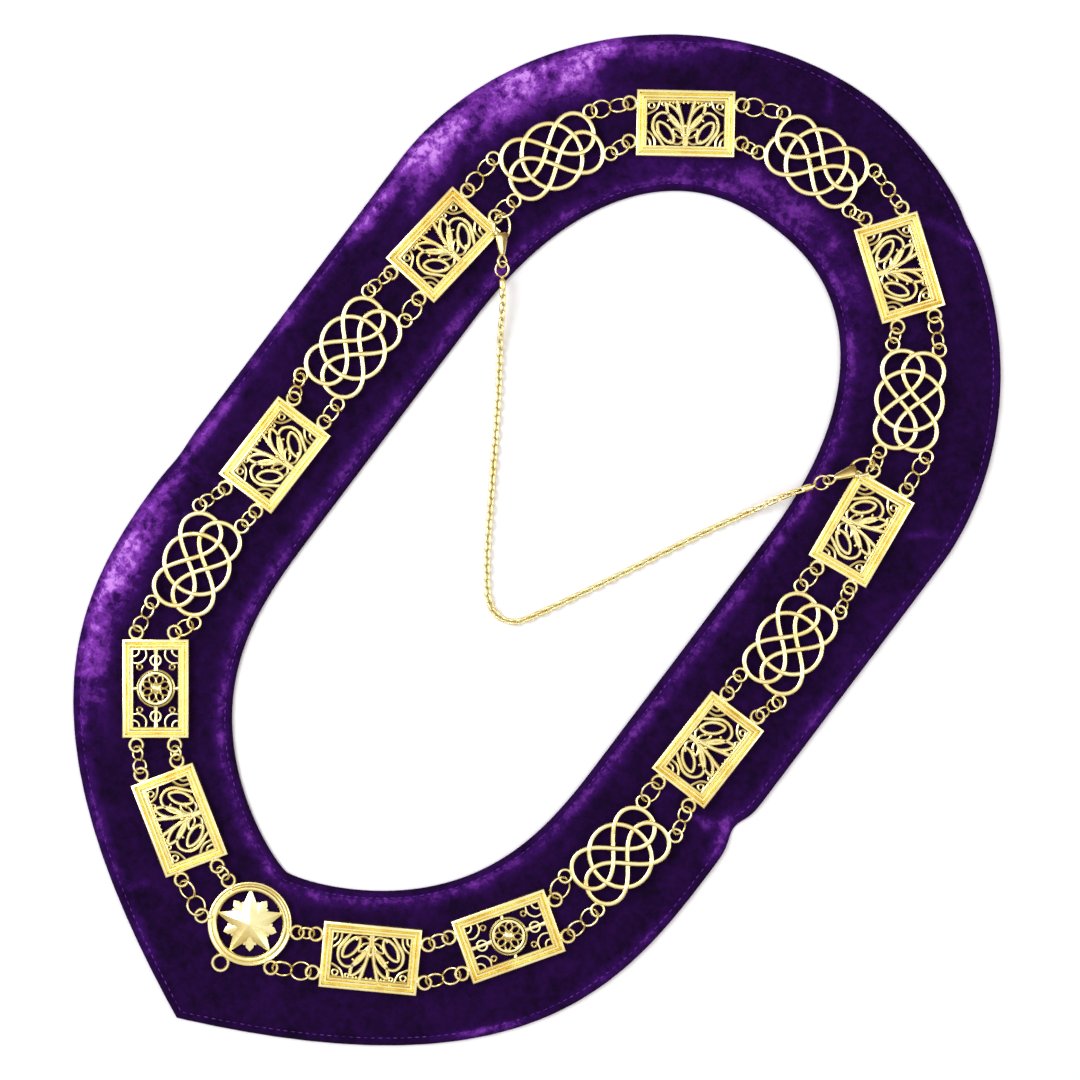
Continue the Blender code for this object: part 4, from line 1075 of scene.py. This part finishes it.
# one stitch is a short bent capsule of thread; all are made at once, as a grid of (stitch, along, round)
def stitchRow(edge, direction, inset, pitch, heights):
    line = np.column_stack([edge + direction * inset, heights])
    line = np.vstack([line, line[:1]])
    steps = lengthsAlong(line[:, :2])
    count = int(steps[-1] / pitch)
    reach = pitch * 0.34
    lengthwise = np.array([-1.0, -0.72, 0.0, 0.72, 1.0])
    sizes = np.array([0.25, 0.85, 1.0, 0.85, 0.25])
    drop = np.array([-0.30, -0.05, 0.06, -0.05, -0.30])
    places = (np.arange(count) + 0.5)[:, None] * steps[-1] / count + lengthwise[None] * reach
    path = pointsAlong(line, steps, places)
    path[..., 2] += drop
    forward = unit(path[:, -1] - path[:, 0])[:, None]
    side = np.cross(forward, up)
    turn = (2 * np.pi * np.arange(5) / 5)[None, None, :, None]
    spread = side[:, :, None] * np.cos(turn) + up * np.sin(turn)
    grids = path[:, :, None] + bandShape["threadRadius"] * sizes[None, :, None, None] * spread
    points = grids.reshape(-1, 3)
    _, quads, ends = skin(grids[0], caps=True)
    shift = np.arange(count) * sizes.size * turn.size
    allQuads = (quads[None] + shift[:, None, None]).reshape(-1, 4)
    allEnds = [row for end in ends for row in (end[None] + shift[:, None])]
    return points, allQuads, allEnds


grooveColumn = 10
inset, pitch = bandShape["stitchInset"], bandShape["stitchPitch"]
rows = [
    stitchRow(outerEdge, -acrossBand, inset, pitch, grid[:, -1 - grooveColumn, 2]),
    stitchRow(neckEdge, acrossBand, inset, pitch, grid[:, grooveColumn, 2]),
]
topstitch = newPiece("velvet_topstitch", rows, thread)


print("stitching ready")

studio = {
    "zenith": 1.0,
    "keyPower": 16.0,
    "fillPower": 8.0,
    "lens": 85.0,
    "field": 0.486,  # metres seen from side to side at the collar
    "turn": 37.0,
    "middle": (0.0012, 0.0110),
}


# a wide board under the collar
def floorBoard(material):
    mesh = bpy.data.meshes.new("studio_floor")
    mesh.from_pydata([(-3, -3, 0), (3, -3, 0), (3, 3, 0), (-3, 3, 0)], [], [(0, 1, 2, 3)])
    mesh.materials.append(material)
    board = newObject("studio_floor", mesh)


# a soft sky: bright overhead, dimmer and warmer toward the horizon, so that flat gilt looks pale and round
# sides turn amber
def softSky(look):
    world = bpy.data.worlds.new("softSky")
    scene.world = world
    world.use_nodes = True
    tree = world.node_tree
    tree.nodes.clear()
    direction = node(tree, "ShaderNodeTexCoord").outputs["Generated"]
    height = node(tree, "ShaderNodeSeparateXYZ", Vector=direction).outputs["Z"]
    stops = [(0.0, "#7A5526"), (0.3, "#8A6530"), (0.55, "#C6B182"), (0.8, "#F4EEDF"), (1.0, "#FFFFFF")]
    back = node(tree, "ShaderNodeBackground", Color=ramp(tree, height, stops), Strength=look["zenith"])
    node(tree, "ShaderNodeOutputWorld", Surface=back.outputs[0])


# a square lamp at place, facing the target
def softBox(name, place, target, size, power):
    lamp = bpy.data.lights.new(name, "AREA")
    lamp.shape = "SQUARE"
    lamp.size = size
    lamp.energy = power
    box = newObject(name, lamp)
    aim = np.array(target) - np.array(place)
    box.location = place
    tip = math.atan2(math.hypot(aim[0], aim[1]), -aim[2])
    box.rotation_euler = (tip, 0, math.atan2(aim[1], aim[0]) - math.pi / 2)


# a camera straight above; distance = field x lens / sensor width
def camera(look):
    data = bpy.data.cameras.new("camera")
    data.lens = look["lens"]
    data.sensor_width = 36.0
    view = newObject("camera", data)
    distance = look["field"] * look["lens"] / data.sensor_width
    view.location = (*look["middle"], 0.004 + distance)
    view.rotation_euler = (0, 0, math.radians(look["turn"]))
    data.clip_end = 20
    scene.camera = view


floorBoard(studioBoard())
softSky(studio)
softBox("key_softbox", (-0.95, -0.35, 1.25), (0, 0, 0), 0.9, studio["keyPower"])
softBox("fill_softbox", (0.9, 0.8, 1.3), (0, 0, 0), 1.2, studio["fillPower"])
camera(studio)
scene.view_settings.view_transform = "Standard"
print("studio ready")
